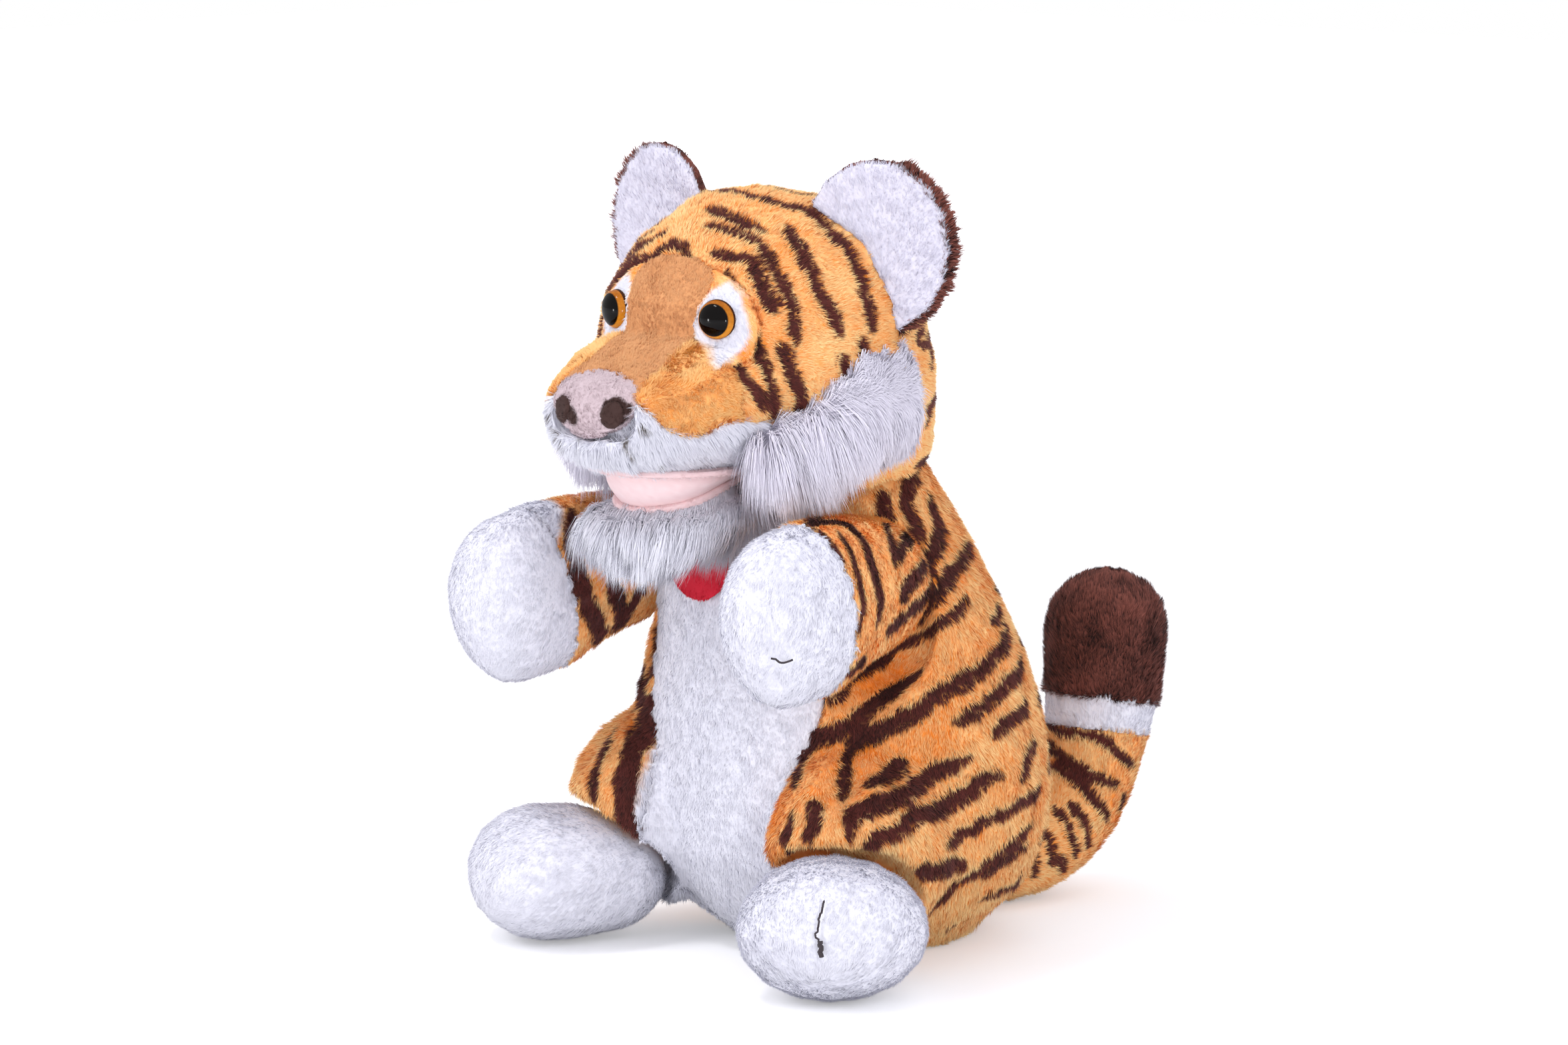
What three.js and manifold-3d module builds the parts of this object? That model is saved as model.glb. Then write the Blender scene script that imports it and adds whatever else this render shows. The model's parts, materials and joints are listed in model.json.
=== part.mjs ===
// A tiger hand puppet, sitting up. Millimetres, +Z up. It faces -Y and its own left is +X.
import * as THREE from "three";
import { mergeVertices } from "three/addons/utils/BufferGeometryUtils.js";
import Module from "manifold-3d";

const wasm = await Module();
wasm.setup();

// Everything below is laid out from the trunk's axis. The origin is this far behind it, in the
// middle of the box that holds nose and tail.
const MIDDLE = 8.2;

const FAR = 400; // past the part on every side, for cuts that go right through

// Clearances
const GAP = 0.3; // between two pieces that are sewn together
const SWING_GAP = 0.9; // between a limb's round root and its socket

// Cloth
const LINING = 1.6; // lining of the hand's sleeve
const PANEL = 5; // plush of the sewn face panels, backing and pile
const BELLY_CLOTH = 6; // plush of the belly panel
const HEM_THICKNESS = 3.2;
const HEM_HEIGHT = 9;
const FLOOR_SINK = 0.5; // how deep a soft limb is pressed flat on the floor

// Torso: sections from the floor up to the neck
const TORSO = [
  { z: 0, wide: 40, front: -35, back: 44 },
  { z: 5, wide: 46, front: -41, back: 48 },
  { z: 11, wide: 53, front: -48, back: 53 },
  { z: 20, wide: 61, front: -55, back: 58 },
  { z: 33, wide: 69, front: -61, back: 62 },
  { z: 54, wide: 74, front: -64, back: 63 },
  { z: 76, wide: 72, front: -63, back: 59 },
  { z: 98, wide: 68, front: -62, back: 52 },
  { z: 118, wide: 63, front: -63, back: 40 },
  { z: 134, wide: 57, front: -62, back: 30 },
  { z: 148, wide: 51, front: -54, back: 21 },
  { z: 158, wide: 45, front: -46, back: 14 },
  { z: 168, wide: 39, front: -40, back: 6 },
  { z: 190, wide: 30, front: -34, back: -4 },
];
const TORSO_TOP = 165; // flat edge of the neck, hidden in the head
const HAND_SLEEVE = [
  { z: -14, wide: 28, front: -26, back: 30 },
  { z: 2, wide: 32, front: -29, back: 35 },
  { z: 22, wide: 42, front: -34, back: 45 },
  { z: 50, wide: 52, front: -42, back: 52 },
  { z: 80, wide: 46, front: -46, back: 48 },
  { z: 104, wide: 29, front: -47, back: 33 },
  { z: 124, wide: 25, front: -46, back: 14 },
  { z: 140, wide: 20, front: -40, back: 0 },
  { z: 172, wide: 20, front: -40, back: 0 },
];
const BELLY_BACK = -10;
const THIGH = { at: [45, -41, 43], half: [28.5, 34, 34] };
const BELLY_OUTLINE = [
  [0, 8],
  [20, 9.5],
  [28.5, 15],
  [30, 26],
  [29, 39],
  [28.5, 50],
  [29, 60],
  [31.5, 70],
  [35.5, 82],
  [36.5, 98],
  [33, 118],
  [29, 136],
  [24, 156],
  [18, 180],
];

// Neck: the head turns and nods on the hand's wrist, and its rim slides on a round seat
const WRIST = new THREE.Vector3(0, -20, 116);
const SEAT_RADIUS = 62;
const SEAT_GAP = 1;
const SEAT_SIDES = 36;
const SEAT_FROM = 141; // height above which the shoulders follow the seat
const NECK_HOLE = 26; // radius of the hole under the head
const NECK_SLEEVE_LENGTH = 26;

// Head
const SKULL = [
  { z: 150, wide: 45, front: -66, back: 9 },
  { z: 160, wide: 50, front: -72, back: 13 },
  { z: 172, wide: 54.5, front: -80, back: 15 },
  { z: 186, wide: 57, front: -88, back: 15 },
  { z: 198, wide: 57.5, front: -91, back: 14 },
  { z: 251, wide: 57, front: -92, back: 13 },
];
const SKULL_DOME = 57; // length over which the crown closes
const MUZZLE = [
  { at: [0, -60, 187], wide: 42, high: 24 },
  { at: [0, -80, 186], wide: 39.5, high: 23 },
  { at: [0, -94, 183], wide: 35.5, high: 19.5 },
  { at: [0, -107, 181], wide: 28.5, high: 16 },
  { at: [0, -121.5, 180], wide: 22, high: 14 },
];
const MUZZLE_ROUND = 12;
const MUZZLE_FULLNESS = 2.5;
const MUZZLE_SIDES = 24;
const MOUTH_TOP = 165.5; // underside of the upper jaw
const MOUTH_BACK = -48;
const HEAD_HOLLOW = { at: [0, -27, 180], half: [31, 29, 33] };
const FINGER_POCKET = [
  { at: [0, -34, 182.5], wide: 26, high: 9.5 },
  { at: [0, -80, 181], wide: 25, high: 8.5 },
  { at: [0, -105, 180], wide: 18, high: 7 },
];
const FINGER_ROUND = 9;

// Face panels, as outlines seen from the front, [across, height]
const BRIDGE_OUTLINE = [[0, 229.5], [9, 228.5], [16, 224], [15.2, 217], [14, 208], [15.5, 200], [17, 190], [16, 178]];
const BRIDGE_BACK = -60;
const EYE_PATCH_OUTLINE = [[11, 226], [12, 212], [15, 206], [22, 202], [30, 197], [32.5, 203], [33, 210], [29, 217], [20, 224.5]];
const EYE_PATCH_BACK = -50;
const NOSE_OUTLINE = [[0, 176.5], [6, 177.5], [12, 180], [16.5, 184.5], [17.5, 189.5], [12.5, 194], [0, 196]];
const NOSE_BACK = -104;
// Upper edge of the lip seen from the side, [y, height], from its back to the front
const LIP_EDGE = [[-76, 180], [-91, 182], [-99, 178.7], [-105, 178], [-111, 181], [-115.5, 189], [-124, 191]];
const CHEEK_BACK = -88;
const CHEEK_TOP = 212;
const NOSTRIL = { x: 10.6, z: 184.5, half: [3.9, 3, 4.4], lean: 0.5, sunk: 1.2, proud: 0.2 };
const ROOF = { wide: 26, back: -56, front: -108, thick: 2 };

// Safety eyes
const EYE = { x: 22, z: 212, radius: 6.3, dome: 4.4, shank: 1.6, shankLength: 13, sunk: 1.6 };
const EYE_RIM = 0.8; // straight edge of the eye's disc
const EYE_TURN = 16; // degrees that each eye looks outwards
const WASHER = { radius: 6, thick: 2, depth: 7 };

// Ears
const EAR = { at: [45.5, -30, 233], wide: 28.5, high: 29, thick: 5.5, cup: 6, turn: 12 };
const EAR_FRONT = { rim: 1.5, thick: 3.2, ahead: 3 };

// Cheek ruffs, lower jaw and felt tab
const RUFF = [
  { at: [51.5, -27, 188], wide: 8, high: 17 },
  { at: [52.5, -42, 185], wide: 9, high: 19 },
  { at: [50, -55, 178], wide: 9.5, high: 14 },
  { at: [43, -69, 171], wide: 9, high: 10 },
  { at: [36, -82, 169.5], wide: 7.5, high: 9.5 },
];
const RUFF_ROUND = 7;
const JAW_HINGE = new THREE.Vector3(0, -62, 156);
const JAW = [
  { at: [0, -63, 154], wide: 24, high: 8 },
  { at: [0, -77, 149], wide: 27, high: 9 },
  { at: [0, -91, 145], wide: 25.5, high: 9 },
  { at: [0, -105, 143.5], wide: 20, high: 7.5 },
];
const JAW_ROUND = { back: 7, front: 10 };
const JAW_FLOOR = { wide: 18, thick: 2.2, sunk: 2.2, from: 0, to: 38 };
const THUMB_POCKET = { wide: 11, high: 4.2, inside: 20, behind: 12, low: 1 };
const TAB = { radius: 13, thick: 1.6, x: -4.8, z: 131, top: 136 };

// Arms
const ARM = [
  { at: [50, -26, 125], wide: 19, high: 20 },
  { at: [53, -46, 127], wide: 19, high: 23 },
  { at: [56, -64, 127], wide: 20, high: 26 },
  { at: [59, -84, 124], wide: 20.5, high: 29.5 },
  { at: [62, -116, 121], wide: 19, high: 27 },
];
const ARM_ROUND = { back: 19, front: 19 };
const ARM_SEAM = -82; // where the white paw is sewn on
const ARM_DROOP = 6; // degrees that the right arm hangs lower than the left
const ARM_SWING = [-9, 4, 20, 36]; // degrees, raised to lowered

// Feet
const FOOT = [
  { at: [44, -40, 17], wide: 16, high: 14 },
  { at: [51, -57, 21], wide: 26, high: 20 },
  { at: [61, -72, 23], wide: 31.5, high: 23.5 },
  { at: [79, -97, 22], wide: 31, high: 22 },
];
const ANKLE = [44, -50, 22];
const FOOT_ROUND = { back: 15, front: 24 };
const FOOT_SWING = [-12, 0, 12]; // degrees, toes in to toes out

// Tail
const TAIL = [
  { at: [8, 52, 15.5], wide: 14, high: 14 },
  { at: [13, 72, 16], wide: 15.5, high: 15.5 },
  { at: [14, 88, 20], wide: 16.5, high: 16.5 },
  { at: [15, 100, 28], wide: 17, high: 17 },
  { at: [16, 107, 40], wide: 17.5, high: 17.5 },
  { at: [16, 112, 56], wide: 19, high: 19 },
  { at: [16, 116, 75], wide: 21.5, high: 21.5 },
  { at: [16, 117, 110], wide: 21.5, high: 21.5 },
];
const TAIL_ROUND = { back: 14, front: 20 };
const TAIL_SWING = [-18, 0, 18]; // degrees, to its right and its left
const TAIL_BAND = { low: 54, high: 65, lean: [0, 0.2, 1] };

// Facets
const TORSO_SIDES = 28;
const HEAD_SIDES = 28;
const SLEEVE_SIDES = 20;
const LIMB_SIDES = 16;
const ROUND_STEPS = 4; // facets over a round end

const unit = (values) => new THREE.Vector3(...values);

// A closed mesh as a solid
function solid(geometry) {
  const bare = geometry.index ? geometry.toNonIndexed() : geometry.clone();
  bare.deleteAttribute("normal");
  bare.deleteAttribute("uv");
  const merged = mergeVertices(bare, 1e-4);
  const corners = merged.index.array;
  const faces = [];
  for (let i = 0; i < corners.length; i += 3) {
    const [a, b, c] = corners.slice(i, i + 3);
    if (a !== b && b !== c && c !== a) faces.push(a, b, c);
  }
  const vertProperties = merged.attributes.position.array;
  return new wasm.Manifold(new wasm.Mesh({ numProp: 3, vertProperties, triVerts: new Uint32Array(faces) }));
}

// A form that swells and tapers smoothly through its sections. Each has its middle, half width
// and half height. An end is flat, or closes round over the length given for it.
function form(sections, options = {}) {
  const { sides = LIMB_SIDES, each = 1, back = 0, front = 0, level = false, fullness = 2, grow = 0 } = options;
  const path = new THREE.CatmullRomCurve3(sections.map((s) => unit(s.at)));
  const sizes = new THREE.CatmullRomCurve3(sections.map((s) => unit([s.wide, s.high, 0])));
  const length = path.getLength();
  const along = (t) => (level ? new THREE.Vector3(0, 0, 1) : path.getTangent(t).normalize());
  const placeAt = (distance, share) => {
    const t = path.getUtoTmapping(THREE.MathUtils.clamp(distance / length, 0, 1));
    const past = distance - THREE.MathUtils.clamp(distance, 0, length);
    return { middle: path.getPoint(t).addScaledVector(along(t), past), size: sizes.getPoint(t), t, share };
  };
  const roundRing = (base, reach, angle) => placeAt(base + reach * Math.sin(angle), Math.cos(angle));
  const rings = [];
  const turns = (from, to) => {
    for (let i = from; i !== to; i += Math.sign(to - from)) {
      const angle = (i / ROUND_STEPS) * (Math.PI / 2);
      if (from > to) rings.push(roundRing(back, -(back + grow), angle));
      else rings.push(roundRing(length - front, front + grow, angle));
    }
  };
  if (back > 0) turns(ROUND_STEPS - 1, 0);
  const from = path.getUtoTmapping(back / length);
  const to = path.getUtoTmapping(1 - front / length);
  const steps = each * (sections.length - 1);
  for (let i = 0; i <= steps; i++) {
    const t = from + ((to - from) * i) / steps;
    const middle = path.getPoint(t);
    if (i === 0 && back === 0) middle.addScaledVector(along(t), -grow);
    if (i === steps && front === 0) middle.addScaledVector(along(t), grow);
    rings.push({ middle, size: sizes.getPoint(t), t, share: 1 });
  }
  if (front > 0) turns(1, ROUND_STEPS);
  const vertices = [];
  const faces = [];
  const bulge = (value) => Math.sign(value) * Math.abs(value) ** (2 / fullness);
  for (const { middle, size, t, share } of rings) {
    const tangent = along(t);
    const across = new THREE.Vector3(1, 0, 0).addScaledVector(tangent, -tangent.x).normalize();
    const up = new THREE.Vector3().crossVectors(tangent, across);
    for (let k = 0; k < sides; k++) {
      const angle = (k / sides) * 2 * Math.PI;
      const point = middle
        .clone()
        .addScaledVector(across, (size.x + grow) * share * bulge(Math.cos(angle)))
        .addScaledVector(up, (size.y + grow) * share * bulge(Math.sin(angle)));
      vertices.push(point.x, point.y, point.z);
    }
  }
  for (let r = 0; r + 1 < rings.length; r++)
    for (let k = 0; k < sides; k++) {
      const a = r * sides + k;
      const b = r * sides + ((k + 1) % sides);
      faces.push(a, b, b + sides, a, b + sides, a + sides);
    }
  const poles = [
    [back > 0 ? placeAt(-grow, 0).middle : rings[0].middle, 0, false],
    [front > 0 ? placeAt(length + grow, 0).middle : rings.at(-1).middle, (rings.length - 1) * sides, true],
  ];
  for (const [point, first, last] of poles) {
    const pole = vertices.length / 3;
    vertices.push(point.x, point.y, point.z);
    for (let k = 0; k < sides; k++) {
      const a = first + k;
      const b = first + ((k + 1) % sides);
      faces.push(pole, ...(last ? [a, b] : [b, a]));
    }
  }
  const geometry = new THREE.BufferGeometry();
  geometry.setAttribute("position", new THREE.Float32BufferAttribute(vertices, 3));
  geometry.setIndex(faces);
  return solid(geometry);
}

// A form of level sections, each with its height, half width, front and back
function upright(sections, options = {}) {
  const stations = sections.map(({ z, wide, front, back }) => ({
    at: [0, (front + back) / 2, z],
    wide,
    high: (back - front) / 2,
  }));
  return form(stations, { level: true, sides: TORSO_SIDES, ...options });
}

function ellipsoid({ at, half }, grow = 0, around = 20, over = 10) {
  const geometry = new THREE.SphereGeometry(1, around, over);
  geometry.scale(half[0] + grow, half[1] + grow, half[2] + grow);
  geometry.translate(...at);
  return solid(geometry);
}

const ball = (centre, radius, around = 18) =>
  ellipsoid({ at: centre.toArray(), half: [radius, radius, radius] }, 0, around, around / 2);

function box(low, high) {
  const geometry = new THREE.BoxGeometry(high[0] - low[0], high[1] - low[1], high[2] - low[2]);
  geometry.translate((low[0] + high[0]) / 2, (low[1] + high[1]) / 2, (low[2] + high[2]) / 2);
  return solid(geometry);
}

function upCylinder(radius, centre, low, high, sides = SLEEVE_SIDES) {
  const geometry = new THREE.CylinderGeometry(radius, radius, high - low, sides);
  geometry.rotateX(Math.PI / 2);
  geometry.translate(centre.x, centre.y, (low + high) / 2);
  return solid(geometry);
}

// All that lies on the far side of a plane through a point
function beyond(point, direction) {
  const geometry = new THREE.BoxGeometry(2 * FAR, 2 * FAR, FAR);
  geometry.translate(0, 0, FAR / 2);
  geometry.applyQuaternion(new THREE.Quaternion().setFromUnitVectors(unit([0, 0, 1]), direction));
  geometry.translate(point.x, point.y, point.z);
  return solid(geometry);
}

// A curved outline seen from the front, pushed back from one depth to another
function frontPrism(outline, from, to, options = {}) {
  const { mirrored = false, grow = 0, each = 2 } = options;
  const half = outline.map(([x, z]) => new THREE.Vector3(x, z, 0));
  const other = half.filter((p) => p.x > 0).reverse().map((p) => new THREE.Vector3(-p.x, p.y, 0));
  const points = mirrored ? [...half, ...other] : half;
  const smooth = new THREE.CatmullRomCurve3(points, true).getPoints(points.length * each).slice(0, -1);
  const turn = Math.sign(THREE.ShapeUtils.area(smooth));
  const grown = smooth.map((p, i) => {
    const before = smooth.at(i - 1);
    const after = smooth[(i + 1) % smooth.length];
    const out = new THREE.Vector2(after.y - before.y, before.x - after.x).normalize();
    return new THREE.Vector2(p.x, p.y).addScaledVector(out, turn * grow);
  });
  const geometry = new THREE.ExtrudeGeometry(new THREE.Shape(grown), { depth: to - from, bevelEnabled: false });
  geometry.rotateX(Math.PI / 2);
  geometry.translate(0, to, 0);
  return solid(geometry);
}

// A solid moved by a matrix, which may mirror it
function moved(piece, matrix) {
  const { vertProperties, triVerts } = piece.getMesh();
  const points = new THREE.BufferAttribute(new Float32Array(vertProperties), 3).applyMatrix4(matrix);
  const faces = new Uint32Array(triVerts);
  if (matrix.determinant() < 0) faces.reverse();
  return new wasm.Manifold(new wasm.Mesh({ numProp: 3, vertProperties: points.array, triVerts: faces }));
}

const mirrorX = (piece) => moved(piece, new THREE.Matrix4().makeScale(-1, 1, 1));

// A solid turned about an axis through a pivot
function turned(piece, pivot, axis, degrees) {
  const matrix = new THREE.Matrix4().makeTranslation(pivot.x, pivot.y, pivot.z);
  matrix.multiply(new THREE.Matrix4().makeRotationAxis(axis, THREE.MathUtils.degToRad(degrees)));
  matrix.multiply(new THREE.Matrix4().makeTranslation(-pivot.x, -pivot.y, -pivot.z));
  return moved(piece, matrix);
}

// The space that a solid sweeps while it swings
const swept = (piece, pivot, axis, turns) =>
  turns.map((degrees) => turned(piece, pivot, axis, degrees)).reduce((all, one) => all.add(one));

const bothSides = (piece) => piece.add(mirrorX(piece));

const leftHalf = (piece) => piece.intersect(box([0, -FAR, -FAR], [FAR, FAR, FAR]));
const largest = (piece) => piece.decompose().sort((a, b) => b.volume() - a.volume())[0];

// Materials
const matt = (color, roughness = 0.95) => new THREE.MeshStandardMaterial({ color, roughness, metalness: 0 });
const ORANGE = matt(0xf0a050);
const WHITE = matt(0xf4f3f6);
const TAN = matt(0xc98f58);
const MAUVE = matt(0xc9aeb0);
const DARK_BROWN = matt(0x4a2a20);
const PINK = matt(0xf0cfcb);
const RED = matt(0xc01528);
const LINING_CLOTH = matt(0xe9e4dc);
const EYE_PLASTIC = matt(0x2a1206, 0.08);
const WASHER_PLASTIC = matt(0xeeeeee, 0.4);

const puppet = new THREE.Group();

function add(name, piece, material) {
  const made = piece.getMesh();
  const geometry = new THREE.BufferGeometry();
  geometry.setAttribute("position", new THREE.BufferAttribute(new Float32Array(made.vertProperties), 3));
  geometry.setIndex(new THREE.BufferAttribute(new Uint32Array(made.triVerts), 1));
  geometry.translate(0, -MIDDLE, 0);
  const mesh = new THREE.Mesh(geometry, material);
  mesh.name = name;
  puppet.add(mesh);
}

// Adds the left piece and its mirror image
function addPair(name, left, material) {
  add(name + "_left", left, material);
  add(name + "_right", mirrorX(left), material);
}

// Adds the two halves of a piece that is sewn together down its middle
function addHalves(name, piece, material) {
  const left = piece.intersect(box([GAP / 2, -FAR, -FAR], [FAR, FAR, FAR]));
  const right = piece.intersect(box([-FAR, -FAR, -FAR], [-GAP / 2, FAR, FAR]));
  add(name + "_left", largest(left), material);
  add(name + "_right", largest(right), material);
}

const floorCut = () => box([-FAR, -FAR, -FAR], [FAR, FAR, 0]);

// Limbs
const shoulder = unit(ARM[0].at);
const ankle = unit(ANKLE);
const tailRoot = unit(TAIL[0].at);
const pressed = (sections) => sections.map((s) => ({ ...s, at: [s.at[0], s.at[1], s.at[2] - FLOOR_SINK] }));

function arms() {
  const arm = form(ARM, ARM_ROUND);
  const direction = unit(ARM[3].at).sub(unit(ARM[2].at)).normalize();
  const share = (ARM_SEAM - ARM[2].at[1]) / (ARM[3].at[1] - ARM[2].at[1]);
  const seam = unit(ARM[2].at).lerp(unit(ARM[3].at), share);
  const past = seam.clone().addScaledVector(direction, GAP);
  const pieces = [
    ["sleeve", arm.subtract(beyond(seam, direction)), ORANGE],
    ["paw", arm.intersect(beyond(past, direction)), WHITE],
  ];
  for (const [name, left, material] of pieces) {
    add(name + "_left", left, material);
    add(name + "_right", turned(mirrorX(left), shoulder, unit([1, 0, 0]), ARM_DROOP), material);
  }
}

function feet() {
  addPair("foot", form(pressed(FOOT), FOOT_ROUND).subtract(floorCut()), WHITE);
}

function tail() {
  const whole = form(pressed(TAIL), TAIL_ROUND).subtract(floorCut());
  const lean = unit(TAIL_BAND.lean).normalize();
  const middle = TAIL[5].at;
  const raised = box([-FAR, TAIL[2].at[1], TAIL[4].at[2]], [FAR, FAR, FAR]);
  const above = (z) => beyond(new THREE.Vector3(middle[0], middle[1], z), lean).intersect(raised);
  add("tail_tube", whole.subtract(above(TAIL_BAND.low)), ORANGE);
  add("tail_band", whole.intersect(above(TAIL_BAND.low + GAP)).subtract(above(TAIL_BAND.high)), WHITE);
  add("tail_tip", whole.intersect(above(TAIL_BAND.high + GAP)), DARK_BROWN);
}

// Torso
function torso() {
  const sacks = upright(TORSO, {});
  const seat = ball(WRIST, SEAT_RADIUS, SEAT_SIDES).add(box([-FAR, -FAR, -FAR], [FAR, FAR, SEAT_FROM]));
  const top = beyond(new THREE.Vector3(0, 0, TORSO_TOP), unit([0, 0, 1]));
  const trunk = sacks.intersect(seat).subtract(top);
  const hollow = upright(HAND_SLEEVE, { sides: SLEEVE_SIDES });
  const belly = (grow) => frontPrism(BELLY_OUTLINE, -FAR, BELLY_BACK, { mirrored: true, grow });
  const bellyCore = (more) => upright(TORSO, { grow: -BELLY_CLOTH - more });
  const armRoom = swept(form(ARM, { ...ARM_ROUND, grow: SWING_GAP }), shoulder, unit([1, 0, 0]), ARM_SWING);
  const footRoom = swept(form(FOOT, { ...FOOT_ROUND, grow: SWING_GAP }), ankle, unit([0, 0, 1]), FOOT_SWING);
  const tailRoom = swept(form(TAIL, { ...TAIL_ROUND, grow: SWING_GAP }), tailRoot, unit([0, 0, 1]), TAIL_SWING);
  const limbRoom = bothSides(armRoom.add(footRoom)).add(tailRoom);
  const whole = trunk.add(bothSides(ellipsoid(THIGH)));
  const shell = whole
    .subtract(belly(GAP).subtract(bellyCore(GAP)))
    .subtract(hollow)
    .subtract(floorCut())
    .subtract(limbRoom);
  const panel = whole.intersect(belly(0)).subtract(bellyCore(0)).subtract(hollow).subtract(limbRoom);
  return { shell, panel };
}

// Hem, lining and neck sleeve, which line the hand's way in
function sleeveLinings() {
  const outer = upright(HAND_SLEEVE, { sides: SLEEVE_SIDES, grow: -GAP });
  const hemInner = upright(HAND_SLEEVE, { sides: SLEEVE_SIDES, grow: -GAP - HEM_THICKNESS });
  const inner = upright(HAND_SLEEVE, { sides: SLEEVE_SIDES, grow: -GAP - LINING });
  const neckLow = TORSO_TOP - NECK_SLEEVE_LENGTH;
  const slab = (low, high) => box([-FAR, -FAR, low], [FAR, FAR, high]);
  add("hem_band", outer.subtract(hemInner).intersect(slab(0, HEM_HEIGHT)), ORANGE);
  add("body_lining", outer.subtract(inner).intersect(slab(HEM_HEIGHT + GAP, neckLow - GAP)), LINING_CLOTH);
  const neckOuter = HAND_SLEEVE.at(-1).wide - SWING_GAP;
  const tube = upCylinder(neckOuter, WRIST, neckLow, TORSO_TOP)
    .subtract(upCylinder(neckOuter - LINING, WRIST, neckLow - 5, TORSO_TOP + 5));
  add("neck_sleeve", tube, LINING_CLOTH);
}

arms();
feet();
tail();
const { shell, panel } = torso();
addHalves("body_shell", shell, ORANGE);
add("belly_panel", panel, WHITE);
sleeveLinings();

// Head
const skullForm = (grow) => upright(SKULL, { sides: HEAD_SIDES, front: SKULL_DOME, grow });
const muzzleForm = (grow) =>
  form(MUZZLE, { sides: MUZZLE_SIDES, front: MUZZLE_ROUND, fullness: MUZZLE_FULLNESS, grow });
const headForm = (grow) => skullForm(grow).add(muzzleForm(grow));
const headOuter = headForm(0);
const headGrown = headForm(GAP);

function headTrim() {
  const seat = ball(WRIST, SEAT_RADIUS + SEAT_GAP, SEAT_SIDES);
  const mouth = box([-FAR, -FAR, 0], [FAR, MOUTH_BACK, MOUTH_TOP]);
  const pocket = form(FINGER_POCKET, { front: FINGER_ROUND });
  const neckWay = upCylinder(NECK_HOLE, WRIST, WRIST.z, HEAD_HOLLOW.at[2]);
  return seat.add(mouth).add(pocket).add(neckWay).add(ellipsoid(HEAD_HOLLOW));
}

// The point of the face straight in front of a place on it
function faceDepth(x, z) {
  const probe = box([x - 0.5, -FAR, z - 0.5], [x + 0.5, 0, z + 0.5]);
  return headOuter.intersect(probe).boundingBox().min[1];
}

// Turns a shape whose axis is +Y so that it looks along a direction, and moves it to its place
function lookAlong(geometry, place, direction) {
  geometry.applyQuaternion(new THREE.Quaternion().setFromUnitVectors(unit([0, 1, 0]), direction));
  geometry.translate(place.x, place.y, place.z);
  return solid(geometry);
}

const eyeAngle = THREE.MathUtils.degToRad(EYE_TURN);
const eyeLook = unit([Math.sin(eyeAngle), -Math.cos(eyeAngle), 0]);
const eyePlace = unit([EYE.x, faceDepth(EYE.x, EYE.z), EYE.z]).addScaledVector(eyeLook, -EYE.sunk);
const eyePin = (radius, low, high) =>
  lookAlong(new THREE.CylinderGeometry(radius, radius, high - low, 16).translate(0, (low + high) / 2, 0), eyePlace, eyeLook);

function eyes() {
  const profile = [new THREE.Vector2(0, -EYE.shankLength), new THREE.Vector2(EYE.shank, -EYE.shankLength)];
  profile.push(new THREE.Vector2(EYE.shank, 0), new THREE.Vector2(EYE.radius, 0));
  for (let i = 0; i <= 4; i++) {
    const angle = (i / 4) * (Math.PI / 2);
    profile.push(new THREE.Vector2(EYE.radius * Math.cos(angle), EYE_RIM + EYE.dome * Math.sin(angle)));
  }
  addPair("eye", lookAlong(new THREE.LatheGeometry(profile, 20), eyePlace, eyeLook), EYE_PLASTIC);
  const ring = eyePin(WASHER.radius, -WASHER.depth - WASHER.thick, -WASHER.depth)
    .subtract(eyePin(EYE.shank + GAP, -WASHER.depth - 5, 0));
  addPair("eye_washer", ring, WASHER_PLASTIC);
}

// Room for one eye, its shank and its washer
function eyeRoom() {
  return eyePin(EYE.radius + GAP, -GAP, EYE.shankLength)
    .add(eyePin(EYE.shank + GAP, -EYE.shankLength - GAP, 0))
    .add(eyePin(WASHER.radius + GAP, -WASHER.depth - WASHER.thick - GAP, -WASHER.depth + GAP));
}

// Where each sewn panel of the face lies, grown by a clearance
function lipRegion(grow) {
  const edge = LIP_EDGE.map(([y, z]) => new THREE.Vector2(y + grow, z + 1.5 * grow));
  const low = [edge.at(-1), edge[0]].map((end) => new THREE.Vector2(end.x, 0));
  const slope = new THREE.Shape([...edge, ...low]);
  const geometry = new THREE.ExtrudeGeometry(slope, { depth: 2 * FAR, bevelEnabled: false });
  geometry.rotateX(Math.PI / 2);
  geometry.rotateZ(Math.PI / 2);
  geometry.translate(-FAR, 0, 0);
  return solid(geometry);
}

const faceRegion = {
  nose: (grow) => frontPrism(NOSE_OUTLINE, -FAR, NOSE_BACK + grow, { mirrored: true, grow }),
  bridge: (grow) => frontPrism(BRIDGE_OUTLINE, -FAR, BRIDGE_BACK + grow, { mirrored: true, grow }),
  eyes: (grow) => bothSides(frontPrism(EYE_PATCH_OUTLINE, -FAR, EYE_PATCH_BACK + grow, { grow })),
  lip: lipRegion,
  cheeks: (grow) => box([-FAR, -FAR, MOUTH_TOP], [FAR, CHEEK_BACK + grow, CHEEK_TOP + grow]),
};

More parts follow.
